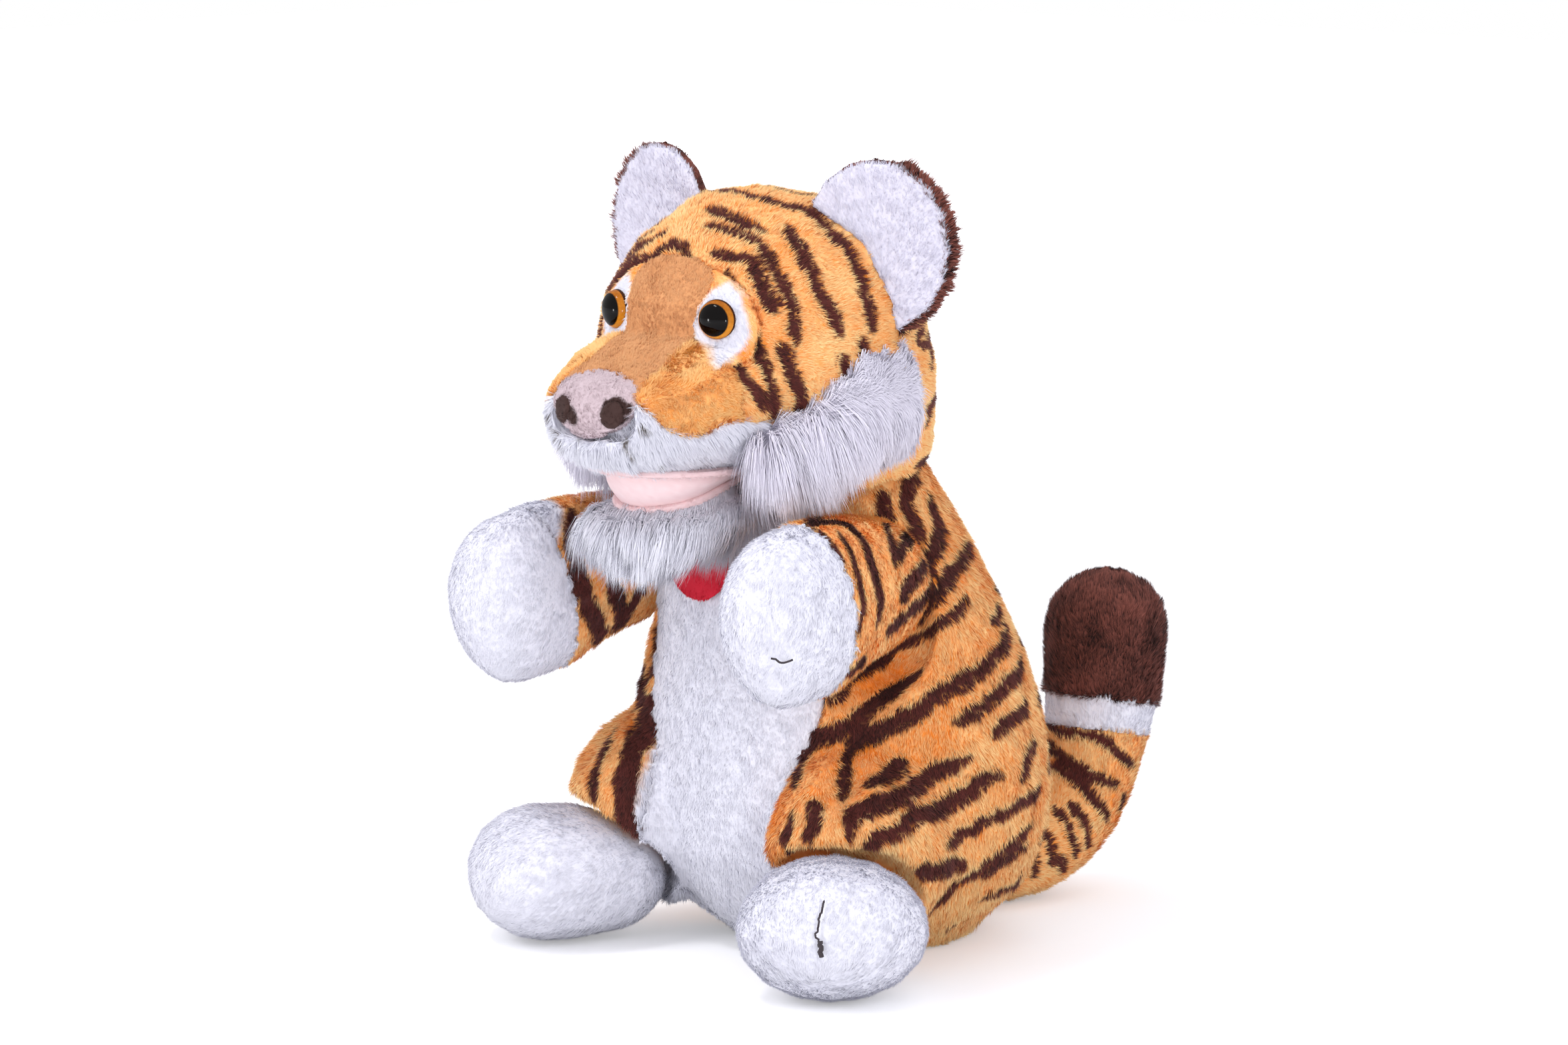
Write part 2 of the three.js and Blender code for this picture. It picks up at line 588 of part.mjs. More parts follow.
function face(trim) {
  const core = headForm(-PANEL);
  const skin = headOuter.subtract(core).subtract(trim);
  const cutInOrder = (name, ...sewnFirst) =>
    sewnFirst.reduce((piece, other) => piece.subtract(faceRegion[other](GAP)), skin.intersect(faceRegion[name](0)));
  add("nose_panel", largest(cutInOrder("nose").subtract(nostrils(GAP))), MAUVE);
  add("nose_bridge", largest(cutInOrder("bridge", "nose")), TAN);
  add("upper_lip", largest(cutInOrder("lip", "nose", "bridge")), WHITE);
  addPair("eye_patch", largest(leftHalf(cutInOrder("eyes", "bridge", "nose")).subtract(eyeRoom())), WHITE);
  addPair("cheek_panel", largest(leftHalf(cutInOrder("cheeks", "nose", "bridge", "eyes", "lip"))), ORANGE);
  const regions = Object.values(faceRegion).reduce((all, region) => all.add(region(GAP)), eyeRoom());
  const sewnArea = headForm(GAP).subtract(headForm(-PANEL - GAP)).intersect(regions);
  const skull = headOuter.subtract(trim).subtract(sewnArea).subtract(bothSides(eyeRoom()));
  addHalves("head_shell", skull, ORANGE);
}

// Two dark ovals set into the nose
function nostrils(grow) {
  const { x, z, half, lean } = NOSTRIL;
  const geometry = new THREE.SphereGeometry(1, 14, 8);
  geometry.scale(half[0] + grow, half[1] + grow, half[2] + grow);
  geometry.rotateY(lean);
  geometry.translate(x, faceDepth(x, z) + NOSTRIL.sunk, z);
  return bothSides(solid(geometry));
}

function nose() {
  const left = largest(leftHalf(nostrils(0)).intersect(headForm(NOSTRIL.proud)));
  addPair("nostril", left, DARK_BROWN);
}

function mouthRoof() {
  const pad = new THREE.Shape();
  pad.moveTo(-ROOF.wide, ROOF.back);
  pad.lineTo(ROOF.wide, ROOF.back);
  pad.lineTo(ROOF.wide, ROOF.front + ROOF.wide);
  pad.absarc(0, ROOF.front + ROOF.wide, ROOF.wide, 0, -Math.PI, true);
  const geometry = new THREE.ExtrudeGeometry(pad, { depth: ROOF.thick, bevelEnabled: false, curveSegments: 16 });
  geometry.translate(0, 0, MOUTH_TOP - GAP - ROOF.thick);
  add("mouth_roof", solid(geometry), PINK);
}

// Ears: a shallow cup with a white front sewn into a brown back
function earCup(wide, high, thick, ahead) {
  const geometry = new THREE.SphereGeometry(1, 22, 8);
  geometry.rotateX(Math.PI / 2);
  geometry.scale(wide, thick, high);
  const place = geometry.attributes.position;
  for (let i = 0; i < place.count; i++) {
    const rim = (place.getX(i) / EAR.wide) ** 2 + (place.getZ(i) / EAR.high) ** 2;
    place.setY(i, place.getY(i) - ahead - EAR.cup * rim);
  }
  geometry.rotateZ(THREE.MathUtils.degToRad(EAR.turn));
  geometry.translate(...EAR.at);
  return solid(geometry);
}

function ears() {
  const { rim, thick, ahead } = EAR_FRONT;
  const white = (grow) => earCup(EAR.wide - rim + grow, EAR.high - rim + grow, thick + grow, ahead);
  const whole = earCup(EAR.wide, EAR.high, EAR.thick, 0);
  addPair("ear_front", largest(white(0).subtract(headGrown)), WHITE);
  addPair("ear_back", largest(whole.subtract(white(GAP)).subtract(headGrown)), DARK_BROWN);
}

function ruffs() {
  const ruff = form(RUFF, { sides: 16, back: RUFF_ROUND, front: RUFF_ROUND });
  const ear = earCup(EAR.wide + GAP, EAR.high + GAP, EAR.thick + GAP, 0);
  addPair("cheek_ruff", largest(ruff.subtract(headGrown).subtract(ear)), WHITE);
}

// Lower jaw, open at the back for the thumb
function jaw() {
  const rest = unit(JAW[2].at).sub(unit(JAW[1].at)).normalize();
  const upward = new THREE.Vector3().crossVectors(unit([1, 0, 0]), rest).negate();
  if (upward.z < 0) upward.negate();
  const whole = form(JAW, JAW_ROUND);
  const crest = unit(JAW[2].at).addScaledVector(upward, JAW[2].high - JAW_FLOOR.sunk);
  const { wide, high, inside, behind, low } = THUMB_POCKET;
  const pocket = new THREE.BoxGeometry(2 * wide, inside + behind, 2 * high);
  const turn = new THREE.Quaternion().setFromUnitVectors(unit([0, -1, 0]), rest);
  pocket.translate(0, (behind - inside) / 2, -low);
  pocket.applyQuaternion(turn);
  pocket.translate(...JAW[0].at);
  add("jaw", largest(whole.subtract(beyond(crest, upward)).subtract(solid(pocket))), WHITE);
  const pad = new THREE.Shape();
  pad.moveTo(-JAW_FLOOR.wide, -JAW_FLOOR.from);
  pad.lineTo(JAW_FLOOR.wide, -JAW_FLOOR.from);
  pad.lineTo(JAW_FLOOR.wide, JAW_FLOOR.wide - JAW_FLOOR.to);
  pad.absarc(0, JAW_FLOOR.wide - JAW_FLOOR.to, JAW_FLOOR.wide, 0, -Math.PI, true);
  const geometry = new THREE.ExtrudeGeometry(pad, { depth: JAW_FLOOR.thick, bevelEnabled: false, curveSegments: 14 });
  geometry.applyQuaternion(turn);
  const seat = JAW_HINGE.clone().addScaledVector(upward, crest.clone().sub(JAW_HINGE).dot(upward) + GAP);
  geometry.translate(seat.x, seat.y, seat.z);
  add("mouth_floor", solid(geometry), PINK);
}

function feltTab() {
  const outline = new THREE.Shape();
  outline.absarc(0, 0, TAB.radius, 0, 2 * Math.PI, false);
  const geometry = new THREE.ExtrudeGeometry(outline, { depth: TAB.thick, bevelEnabled: false, curveSegments: 28 });
  geometry.rotateX(Math.PI / 2);
  const around = box([-TAB.radius, -FAR, TAB.z - TAB.radius], [TAB.radius, 0, TAB.z + TAB.radius]);
  const chest = panel.intersect(around).boundingBox().min[1];
  geometry.translate(TAB.x, chest - GAP, TAB.z);
  add("felt_tab", solid(geometry).subtract(beyond(unit([0, 0, TAB.top]), unit([0, 0, 1]))), RED);
}

const trim = headTrim();
face(trim);
nose();
eyes();
mouthRoof();
ears();
ruffs();
jaw();
feltTab();

export default puppet;
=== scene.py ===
import json
import math

import bpy
import numpy as np
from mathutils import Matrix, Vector
from mathutils.bvhtree import BVHTree


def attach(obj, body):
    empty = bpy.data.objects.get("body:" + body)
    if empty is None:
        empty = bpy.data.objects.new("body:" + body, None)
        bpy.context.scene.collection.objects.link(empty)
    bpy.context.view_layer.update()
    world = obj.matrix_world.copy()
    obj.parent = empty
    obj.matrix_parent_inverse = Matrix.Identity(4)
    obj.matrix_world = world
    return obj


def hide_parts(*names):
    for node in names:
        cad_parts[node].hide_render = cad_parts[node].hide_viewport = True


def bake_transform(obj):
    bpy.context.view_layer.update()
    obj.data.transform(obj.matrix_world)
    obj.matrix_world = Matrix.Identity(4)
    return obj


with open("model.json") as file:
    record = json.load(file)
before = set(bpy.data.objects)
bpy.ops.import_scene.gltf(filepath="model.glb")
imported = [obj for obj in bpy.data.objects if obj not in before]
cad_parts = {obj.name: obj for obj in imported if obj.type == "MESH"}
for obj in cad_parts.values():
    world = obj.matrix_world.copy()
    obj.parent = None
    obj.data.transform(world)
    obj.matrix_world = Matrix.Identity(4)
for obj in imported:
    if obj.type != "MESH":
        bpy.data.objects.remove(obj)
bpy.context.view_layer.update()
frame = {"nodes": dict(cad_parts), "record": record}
bpy.ops.object.select_all(action="DESELECT")

MM = 0.001
SEAM_REACH = 2.2  # how far away a piece that is sewn on can be
SEAM_START = 0.0003  # metres: how far behind a skin the look for that piece starts
SEAM_PROUD = 0.35  # a skin stands out this much where another is sewn to it, so no gap shows
MIDDLE_SEAM = 0.2  # points of two halves this near the middle plane are on their seam
SEAM_OVERLAP = 0.4  # and each half's are moved this far over it, so that the two melt together
LININGS_KEPT = 0.45  # share of its triangles that a piece without a pile keeps
HIDDEN_BELOW = 0.9  # a skin this close above the floor counts as hidden
CLEAR_VIEW = 0.6  # metres of free air in some direction make a place count as seen
LOOK_FROM, LOOK_STEP = 0.4, 0.7  # a skin is looked from this far outside its solid, and a step further
ROOT_DEPTH = 0.3  # how deep in the skin a hair is rooted
LOWEST_HAIR = 0.15  # hairs stay this far above the floor
MAP_MARGIN, MAP_SPAN = 0.02, 0.96  # where the hairs' part of a colour map starts, and its width
BLADE_ON_MAP = 0.0012  # half the width of a blade there
STRIPE_GROWTH, STRIPE_EXTRA = 1.4, 0.3  # a stripe is dyed wider than it shows, because hairs cross its edge

# How much tufts and hairs differ: turn, lie and roll in radians, the rest as shares
SPREAD = {"turn": 0.1, "lie": 0.13, "roll": 0.45, "tuft_tone": 0.3, "hair_tone": 0.35, "dye": 0.12}
HAIR_LENGTHS, HAIR_WIDTHS = (0.75, 1.1), (0.7, 1.25)

# Where a pile gets shorter, and over how far. The last value is the most that it loses, as a share.
RUFF_BEHIND, RUFF_ABOVE, RUFF_LOSS = (-78, 40), (184, 30), 0.55
EAR_INSIDE, EAR_LOSS = (58, 12), 0.85
JAW_ABOVE, JAW_LOSS = (147, 9), 0.8
RUFF_PARTS = (186, 6)  # where a ruff's pile starts to be combed up, and over how far
TAIL_RISES = (70, 25)  # where the tail starts to stand up, and over how far

# Where cloth is white: the trunk's under the belly and along its far edge, the head's under the nose,
# and the far sleeve's in front of a slanting seam
WHITE_BOXES = [
    {"left": 40, "right": -48, "back": -30, "top": 27},
    {"left": 0, "right": -31, "back": -45, "top": 67},
]
# The darker root colour of white hairs is painted shade of the depth of the pile
WHITE_ROOT, WHITE_TIP = "E2E2EC", "EAEAF3"
NOSE_BACK, NOSE_TOP = -116, 188
FAR_SEAM, FAR_SEAM_LOW = 231.8, 133

# Camera: where the photograph was taken from, and the point in its middle
CAMERA_AT = (1.1736, -1.3115, 0.4049)
CAMERA_AIM = (-0.0351, 0.0011, 0.1317)
CAMERA_LENS = 124.4

# Stripes of the side that the photograph shows: half width, then the points that each runs through
HEAD_STRIPES = [
    (1.3, [(-28, -49, 243), (-12, -55, 248), (2, -58, 249), (15, -59, 247), (22, -55, 246), (27, -51, 243),
           (34, -52, 238), (40, -55, 234)]),
    (0.9, [(1, -48, 251), (12, -40, 250), (24, -34, 246)]),
    (1.2, [(-4, -70, 244), (7, -71, 243), (15, -71, 241), (23, -70, 239)]),
    (1.2, [(2, -76, 240), (12, -76, 239), (18, -75, 238), (23, -75, 236)]),
    (1.1, [(12, -84, 232), (18, -83, 232), (22, -81, 231)]),
    (0.7, [(-13, -77, 238), (-14, -79, 236), (-22, -80, 231), (-29, -78, 228)]),
    (1.1, [(-33, -85, 216), (-31, -82, 220), (-24, -82, 225), (-15, -85, 229), (-9, -85, 232),
           (-5, -83, 233), (2, -86, 233), (6, -87, 230)]),
    (1.5, [(23, -79, 233), (28, -80, 228), (33, -81, 221), (38, -81, 215)]),
    (1.3, [(23, -74, 237), (29, -75, 232), (35, -76, 225), (41, -77, 217), (43, -78, 210), (44, -78, 204)]),
    (1.5, [(25, -63, 241), (33, -66, 235), (40, -67, 228), (45, -68, 220), (49, -66, 213), (51, -65, 206)]),
    (1.5, [(35, -49, 238), (42, -51, 232), (47, -51, 224), (52, -53, 217), (54, -53, 207)]),
    (1.4, [(31, -94, 201), (35, -93, 195), (34, -88, 188), (34, -84, 182)]),
    (1.3, [(32, -87, 209), (35, -86, 202), (36, -84, 194), (39, -84, 187), (39, -83, 180)]),
    (1.5, [(40, -81, 205), (42, -80, 199), (45, -79, 192), (45, -77, 187), (42, -76, 181)]),
    (1.0, [(52, -65, 201), (53, -65, 196), (53, -64, 191)]),
    (1.0, [(53, -58, 206), (55, -58, 201), (55, -59, 197)]),
    (0.9, [(20, -86, 225), (24, -86, 222)]),
    (1.1, [(50, -22, 207), (55, -31, 203)]),
    (1.1, [(46, -12, 201), (52, -23, 193)]),
    (0.8, [(51, -18, 184), (54, -25, 174)]),
]
BODY_STRIPES = [
    (1.9, [(44, -37, 154), (46, -39, 149), (45, -38, 142)]),
    (1.9, [(43, -21, 159), (47, -29, 153), (50, -31, 147), (53, -31, 142), (52, -34, 138), (47, -33, 132)]),
    (1.9, [(48, -19, 151), (52, -20, 145), (53, -20, 141), (56, -26, 135), (57, -33, 130), (52, -33, 124),
           (48, -32, 120)]),
    (1.9, [(49, -2, 134), (58, -17, 129), (60, -28, 123), (54, -31, 116), (46, -32, 110), (43, -34, 108)]),
    (1.3, [(61, -15, 120), (63, -21, 116), (63, -29, 113), (58, -32, 110), (49, -33, 105), (44, -37, 101)]),
    (2.1, [(45, -36, 101), (41, -43, 98), (40, -50, 95), (40, -58, 89)]),
    (1.2, [(56, 7, 114), (60, 2, 112), (64, -6, 110)]),
    (1.9, [(59, 6, 108), (64, 0, 104), (67, -7, 100), (68, -18, 96), (67, -27, 93), (64, -34, 90),
           (61, -40, 85), (57, -45, 82), (53, -50, 79), (48, -54, 77), (47, -59, 75)]),
    (2.0, [(58, -37, 98), (54, -40, 94), (51, -45, 90), (48, -51, 85), (46, -55, 81), (41, -58, 78),
           (35, -60, 74), (33, -66, 69), (38, -75, 64)]),
    (1.9, [(62, 10, 97), (64, 7, 93), (68, -5, 90), (70, -14, 86), (69, -23, 83), (67, -30, 80)]),
    (1.7, [(66, 10, 82), (69, 3, 80), (71, -8, 78), (71, -15, 75)]),
    (1.4, [(68, 13, 69), (71, 4, 66), (73, -3, 59)]),
    (2.1, [(70, -25, 69), (67, -31, 67), (66, -40, 65), (68, -49, 63), (68, -58, 61), (65, -67, 59),
           (62, -72, 58), (63, -75, 50)]),
    (1.9, [(61, -46, 71), (62, -57, 69), (60, -63, 66)]),
    (2.1, [(73, -12, 62), (72, -20, 61), (70, -28, 57), (70, -37, 55), (72, -50, 55), (71, -60, 51),
           (68, -67, 49), (60, -66, 44)]),
    (1.5, [(69, 13, 56), (72, 7, 53), (73, -4, 51), (72, -13, 49), (70, -21, 46), (69, -29, 43),
           (71, -37, 42)]),
    (1.5, [(69, 8, 43), (69, 2, 40), (70, -5, 36), (69, -9, 34), (67, -14, 32), (64, -19, 28),
           (61, -23, 25), (57, -25, 20), (54, -26, 17)]),
    (1.1, [(68, 8, 36), (68, 1, 34), (67, -6, 31), (65, -12, 28)]),
    (1.9, [(66, -23, 33), (71, -38, 35), (72, -52, 36)]),
    (1.0, [(59, 14, 24), (57, 13, 20), (59, 3, 19), (59, -8, 18)]),
    (1.5, [(49, -60, 73), (51, -64, 68), (55, -70, 61)]),
    (1.7, [(49, -77, 61), (52, -80, 53), (45, -71, 43)]),
    (1.2, [(41, -80, 56), (42, -82, 50), (38, -74, 41)]),
    (1.3, [(53, -50, 76), (49, -56, 75), (49, -62, 72)]),
    (0.7, [(52, -10, 11), (48, -11, 7)]),
]
FAR_BODY_STRIPES = [
    (2.4, [(-37, -61, 81), (-38, -61, 73), (-36, -69, 68), (-34, -75, 60), (-33, -78, 50), (-32, -79, 39),
           (-34, -74, 24)]),
    (1.2, [(-53, -62, 69), (-47, -74, 65), (-45, -80, 57), (-44, -83, 47)]),
    (1.0, [(-39, -60, 91), (-54, -49, 81)]),
]
SLEEVE_LEFT_STRIPES = [
    (0.9, [(64, -93, 150), (68, -92, 150), (72, -92, 146), (73, -90, 137), (74, -89, 129), (74, -87, 121),
           (72, -87, 114)]),
    (0.8, [(67, -85, 150), (71, -85, 147), (74, -85, 142), (76, -86, 137), (78, -85, 131), (79, -85, 126),
           (78, -87, 121), (76, -86, 116)]),
    (1.4, [(63, -93, 152), (61, -84, 152), (63, -78, 152), (68, -76, 148), (72, -76, 143), (75, -77, 138),
           (76, -76, 132), (77, -75, 124), (76, -77, 118)]),
    (0.8, [(62, -94, 152), (57, -85, 153), (52, -76, 152)]),
    (0.9, [(60, -54, 148), (65, -59, 146), (70, -62, 142), (73, -64, 136)]),
    (1.7, [(61, -44, 143), (68, -55, 141), (72, -62, 138)]),
    (1.7, [(66, -42, 134), (70, -49, 132), (73, -59, 128), (74, -62, 125)]),
    (1.8, [(66, -36, 125), (69, -44, 123), (72, -55, 120), (73, -64, 116), (73, -69, 116)]),
    (1.4, [(73, -78, 107), (73, -85, 106)]),
]
SLEEVE_RIGHT_STRIPES = [
    (2.4, [(-48, -86, 144), (-42, -91, 136), (-39, -92, 125), (-39, -88, 114), (-47, -74, 99)]),
    (2.2, [(-37, -79, 122), (-38, -75, 114), (-46, -66, 102)]),
    (1.3, [(-36, -64, 118), (-38, -67, 113), (-41, -67, 107)]),
]
TAIL_STRIPES = [
    (1.25, [(4, 91, 57), (15, 85, 57), (23, 86, 57), (29, 90, 55), (33, 96, 49), (33, 105, 43)]),
    (1.25, [(6, 87, 51), (17, 83, 48), (22, 84, 46), (29, 87, 42), (33, 96, 38)]),
    (1.35, [(11, 83, 45), (21, 82, 43), (27, 84, 39), (31, 88, 32), (32, 93, 26)]),
    (1.25, [(22, 74, 33), (27, 75, 29), (30, 76, 22), (29, 78, 15)]),
    (1.25, [(25, 79, 34), (29, 81, 29), (31, 83, 24), (30, 84, 18)]),
    (1.25, [(26, 66, 26), (28, 67, 20), (28, 67, 13)]),
    (1.15, [(27, 59, 19), (26, 60, 11)]),
    (1.15, [(29, 71, 16), (28, 73, 10)]),
    (1.1, [(32, 101, 34), (32, 100, 29)]),
]
LIP_DOTS = [
    (0.3, [(-3, -129, 175), (-3, -128, 175)]),
    (0.5, [(15, -126, 176), (16, -126, 175)]),
    (0.5, [(15, -125, 172), (15, -123, 171)]),
    (0.8, [(21, -124, 180), (22, -123, 179)]),
    (0.6, [(20, -117, 169), (21, -116, 169)]),
]
NOSTRIL_MARKS = [
    (1.2, [(9, -128, 186), (13, -127, 187), (16, -125, 187)]),
    (1.0, [(12, -128, 184), (15, -126, 184)]),
    (1.3, [(-8, -129, 185), (-4, -129, 182)]),
]
# The white of each eye patch, seen from the front: (x, z) on the animal's left
PATCH_OUTLINE = [
    (21.6, 224), (26.5, 220.5), (30.5, 214), (32, 207.5), (30, 202),
    (30.5, 197), (22.4, 203), (15, 205), (13, 211), (17, 221),
]
PAW_THREAD = [(70.5, -119, 114), (72, -118, 113), (73.5, -117, 113), (75.5, -115, 114)]
FOOT_THREAD = [(76, -101, 37), (76, -103, 33), (77, -106, 28), (78, -106, 23)]
FOOT_THREAD_END = [(78, -106, 25), (79, -106, 20)]
PAW_CREASE = [(66, -121, 136), (70, -121, 127), (71, -119, 114), (69, -116, 105)]
HIP_DIMPLE = [(60, -56, 70)]
FAR_FOOT_DIMPLE = [(-51, -103, 36)]


# Reckoning with meshes, in millimetres
def unit(vectors):
    return vectors / np.maximum(np.linalg.norm(vectors, axis=-1, keepdims=True), 1e-9)


def ripple(points, size, seed):
    """Smooth noise from about -1 to 1 whose waves are about `size` long."""
    draw = np.random.default_rng(seed)
    total = np.zeros(len(points))
    for _ in range(7):
        way = unit(draw.normal(size=3)) * 2 * math.pi / (size * draw.uniform(0.7, 1.6))
        total += np.sin(points @ way + draw.uniform(0, 2 * math.pi))
    return total / 2.6


def arrays(mesh):
    """Points in millimetres, their normals, and the corners of the triangles."""
    points = np.empty(3 * len(mesh.vertices), np.float32)
    normals = np.empty_like(points)
    mesh.vertices.foreach_get("co", points)
    mesh.vertices.foreach_get("normal", normals)
    mesh.calc_loop_triangles()
    corners = np.empty(3 * len(mesh.loop_triangles), np.int32)
    mesh.loop_triangles.foreach_get("vertices", corners)
    points, normals = (values.reshape(-1, 3).astype(float) for values in (points, normals))
    return points / MM, normals, corners.reshape(-1, 3)


def put_points(mesh, points):
    mesh.vertices.foreach_set("co", (points * MM).astype(np.float32).ravel())
    mesh.update()


def put_value(mesh, name, values):
    layer = mesh.attributes.get(name) or mesh.attributes.new(name, "FLOAT", "POINT")
    layer.data.foreach_set("value", np.asarray(values, np.float32))


def get_value(mesh, name):
    values = np.zeros(len(mesh.vertices), np.float32)
    if name in mesh.attributes:
        mesh.attributes[name].data.foreach_get("value", values)
    return values.astype(float)


def smooth_line(points, step=1.0):
    """Points every `step` along a curve through the given ones."""
    given = np.array(points, float)
    if len(given) == 1:
        return given
    ends = np.vstack([2 * given[0] - given[1], given, 2 * given[-1] - given[-2]])
    run = []
    for a, b, c, d in zip(ends, ends[1:], ends[2:], ends[3:]):
        share = np.arange(0, 1, min(0.5, step / max(np.linalg.norm(c - b), 1e-6)))[:, None]
        bend = 2 * a - 5 * b + 4 * c - d + (3 * b - a - 3 * c + d) * share
        run.append(0.5 * (2 * b + (c - a + bend * share) * share))
    return np.vstack([*run, given[-1:]])


def tree_of(mesh):
    points, _, corners = arrays(mesh)
    return BVHTree.FromPolygons((points * MM).tolist(), corners.tolist())


def snapped(line, tree):
    return np.array([tree.find_nearest(Vector(p * MM))[0] for p in line]) / MM


def mirrored(lines):
    return [(wide, [(-x, y, z) for x, y, z in line]) for wide, line in lines]


def depth_in_lines(points, tree, lines, taper=0.4, around=3.0):
    """How far inside a line's half width each point is, in millimetres. It is negative outside."""
    depth = np.full(len(points), -around)
    for index, (wide, line) in enumerate(lines):
        run = snapped(smooth_line(line), tree)
        share = np.linspace(0, 1, len(run))
        narrow = np.minimum(1, taper + 5 * np.minimum(share, 1 - share)) if taper < 1 else 1
        half = wide * narrow * (1 + 0.12 * ripple(run, 9, index))
        reach = wide + around
        inside = (points > run.min(0) - reach) & (points < run.max(0) + reach)
        near = np.all(inside, axis=1).nonzero()[0]
        for part in np.array_split(near, max(1, len(near) // 20000)):
            away = np.linalg.norm(points[part, None] - run[None], axis=2)
            depth[part] = np.maximum(depth[part], (half[None] - away).max(1))
    return depth


def tree_of_nodes(names):
    points, corners = [], []
    for name in names:
        own, _, faces = arrays(frame["nodes"][name].data)
        corners += (faces + len(points)).tolist()
        points += (own * MM).tolist()
    return BVHTree.FromPolygons(points, corners)


PART_TREE = tree_of_nodes(frame["nodes"])
BODIES = frame["record"]["behaviour"]["bodies"]
# Ways to look, on a spiral from nearly straight up to a little below level
GOLDEN_TURN = 2.4
SPIRAL = []
for k, high in enumerate(np.linspace(0.98, -0.25, 26)):
    wide = math.sqrt(1 - high * high)
    SPIRAL.append(Vector((math.cos(GOLDEN_TURN * k) * wide, math.sin(GOLDEN_TURN * k) * wide, high)))


def open_to_air(points, normals, starts):
    """1 where a point on a skin can be seen from somewhere above the floor, otherwise 0."""
    shown = np.zeros(len(points))
    for i, (point, normal) in enumerate(zip(points, normals)):
        if point[2] < HIDDEN_BELOW:
            continue
        out = Vector(normal)
        ways = [out] + [way for way in SPIRAL if way.dot(out) > 0.15]
        looks = [(Vector(point * MM) + out * (start * MM), way) for start in starts for way in ways]
        shown[i] = any(PART_TREE.ray_cast(place, way, CLEAR_VIEW)[0] is None for place, way in looks)
    return shown


def widened(mesh, values, rings):
    """The values after each point takes the highest of its neighbours', ring after ring."""
    edges = np.empty(2 * len(mesh.edges), np.int32)
    mesh.edges.foreach_get("vertices", edges)
    one, two = edges.reshape(-1, 2).T
    for _ in range(rings):
        grown = values.copy()
        np.maximum.at(grown, one, values[two])
        np.maximum.at(grown, two, values[one])
        values = grown
    return values


def sewn_on(points, normals, nodes):
    """1 where a skin faces another piece that is sewn to it, otherwise 0."""
    body = next(names for names in BODIES.values() if nodes[0] in names)
    others = [name for name in body if name not in nodes]
    sewn = np.zeros(len(points))
    if others:
        tree = tree_of_nodes(others)
        for i, (point, normal) in enumerate(zip(points, normals)):
            out = Vector(normal)
            start = Vector(point * MM) - out * SEAM_START
            sewn[i] = tree.ray_cast(start, out, SEAM_REACH * MM)[0] is not None
    return sewn


# Finishes
def colour(code):
    """A linear colour from its hex code."""
    parts = [int(code[i : i + 2], 16) / 255 for i in (0, 2, 4)]
    return (*[p / 12.92 if p <= 0.04045 else ((p + 0.055) / 1.055) ** 2.4 for p in parts], 1.0)


class Wire:
    """A socket that can be reckoned with: an expression on it adds Math nodes."""

    def __init__(self, finish, socket):
        self.finish, self.socket = finish, socket

    def sum(self, operation, *values, clamp=False):
        return self.finish.node("ShaderNodeMath", {"operation": operation, "use_clamp": clamp}, *values)

    def __add__(self, other):
        return self.sum("ADD", self, other)

    def __sub__(self, other):
        return self.sum("SUBTRACT", self, other)

    def __rsub__(self, other):
        return self.sum("SUBTRACT", other, self)

    def __mul__(self, other):
        return self.sum("MULTIPLY", self, other)

    def clamped(self):
        return self.sum("ADD", self, 0.0, clamp=True)

    __radd__, __rmul__ = __add__, __mul__


class Finish:
    """A material under construction."""

    def __init__(self, name, rough, sheen=0.0, coat=0.0):
        self.material = bpy.data.materials.new(name)
        self.material.use_nodes = True
        self.shader = self.material.node_tree.nodes["Principled BSDF"]
        self.set("Roughness", rough)
        self.set("Sheen Weight", sheen)
        self.set("Sheen Roughness", 0.45)
        self.set("Coat Weight", coat)
        self.set("Coat Roughness", 0.04)

    def set(self, socket, value):
        if isinstance(value, Wire):
            self.material.node_tree.links.new(value.socket, self.shader.inputs[socket])
        else:
            self.shader.inputs[socket].default_value = value

    def node(self, kind, settings, *values, out=0, **named):
        made = self.material.node_tree.nodes.new(kind)
        for key, value in settings.items():
            setattr(made, key, value)
        for key, value in [*enumerate(values), *named.items()]:
            if isinstance(value, Wire):
                self.material.node_tree.links.new(value.socket, made.inputs[key])
            elif value is not None:
                made.inputs[key].default_value = value
        return Wire(self, made.outputs[out])

    def value(self, name):
        return self.node("ShaderNodeAttribute", {"attribute_name": name}, out=2)

    def mix(self, share, first, second):
        settings = {"data_type": "RGBA", "clamp_factor": True}
        return self.node("ShaderNodeMix", settings, share, None, None, None, None, None, first, second, out=2)

    def place(self):
        return self.node("ShaderNodeTexCoord", {}, out=3)

    def noise(self, per_metre, detail=2.0):
        return self.node("ShaderNodeTexNoise", {}, self.place(), Scale=per_metre, Detail=detail)

    def bump(self, height, distance, strength=0.6):
        bumps = self.node("ShaderNodeBump", {}, Strength=strength, Distance=distance, Height=height)
        self.set("Normal", bumps)


def plush_finish(name, tip, root, mark_tip=None, mark_root=None, sheen=0.05, tone=0.1):
    """Pile whose hairs run from a deep root colour to a pale tip, with marks dyed into it. The darker root
    colour is painted shade, the shade deep in the pile.
    """
    finish = Finish(name, 0.92, sheen)
    along = finish.value("along")
    shade = finish.value("shade")
    reach = (along + shade * tone).clamped()
    base = finish.mix(reach, colour(root), colour(tip))
    if mark_tip:
        white = finish.mix(reach, colour(WHITE_ROOT), colour(WHITE_TIP))
        base = finish.mix(finish.value("pale"), base, white)
        mark = finish.mix(reach, colour(mark_root), colour(mark_tip))
        base = finish.mix(finish.value("dye"), base, mark)
    finish.set("Base Color", base)
    return finish.material
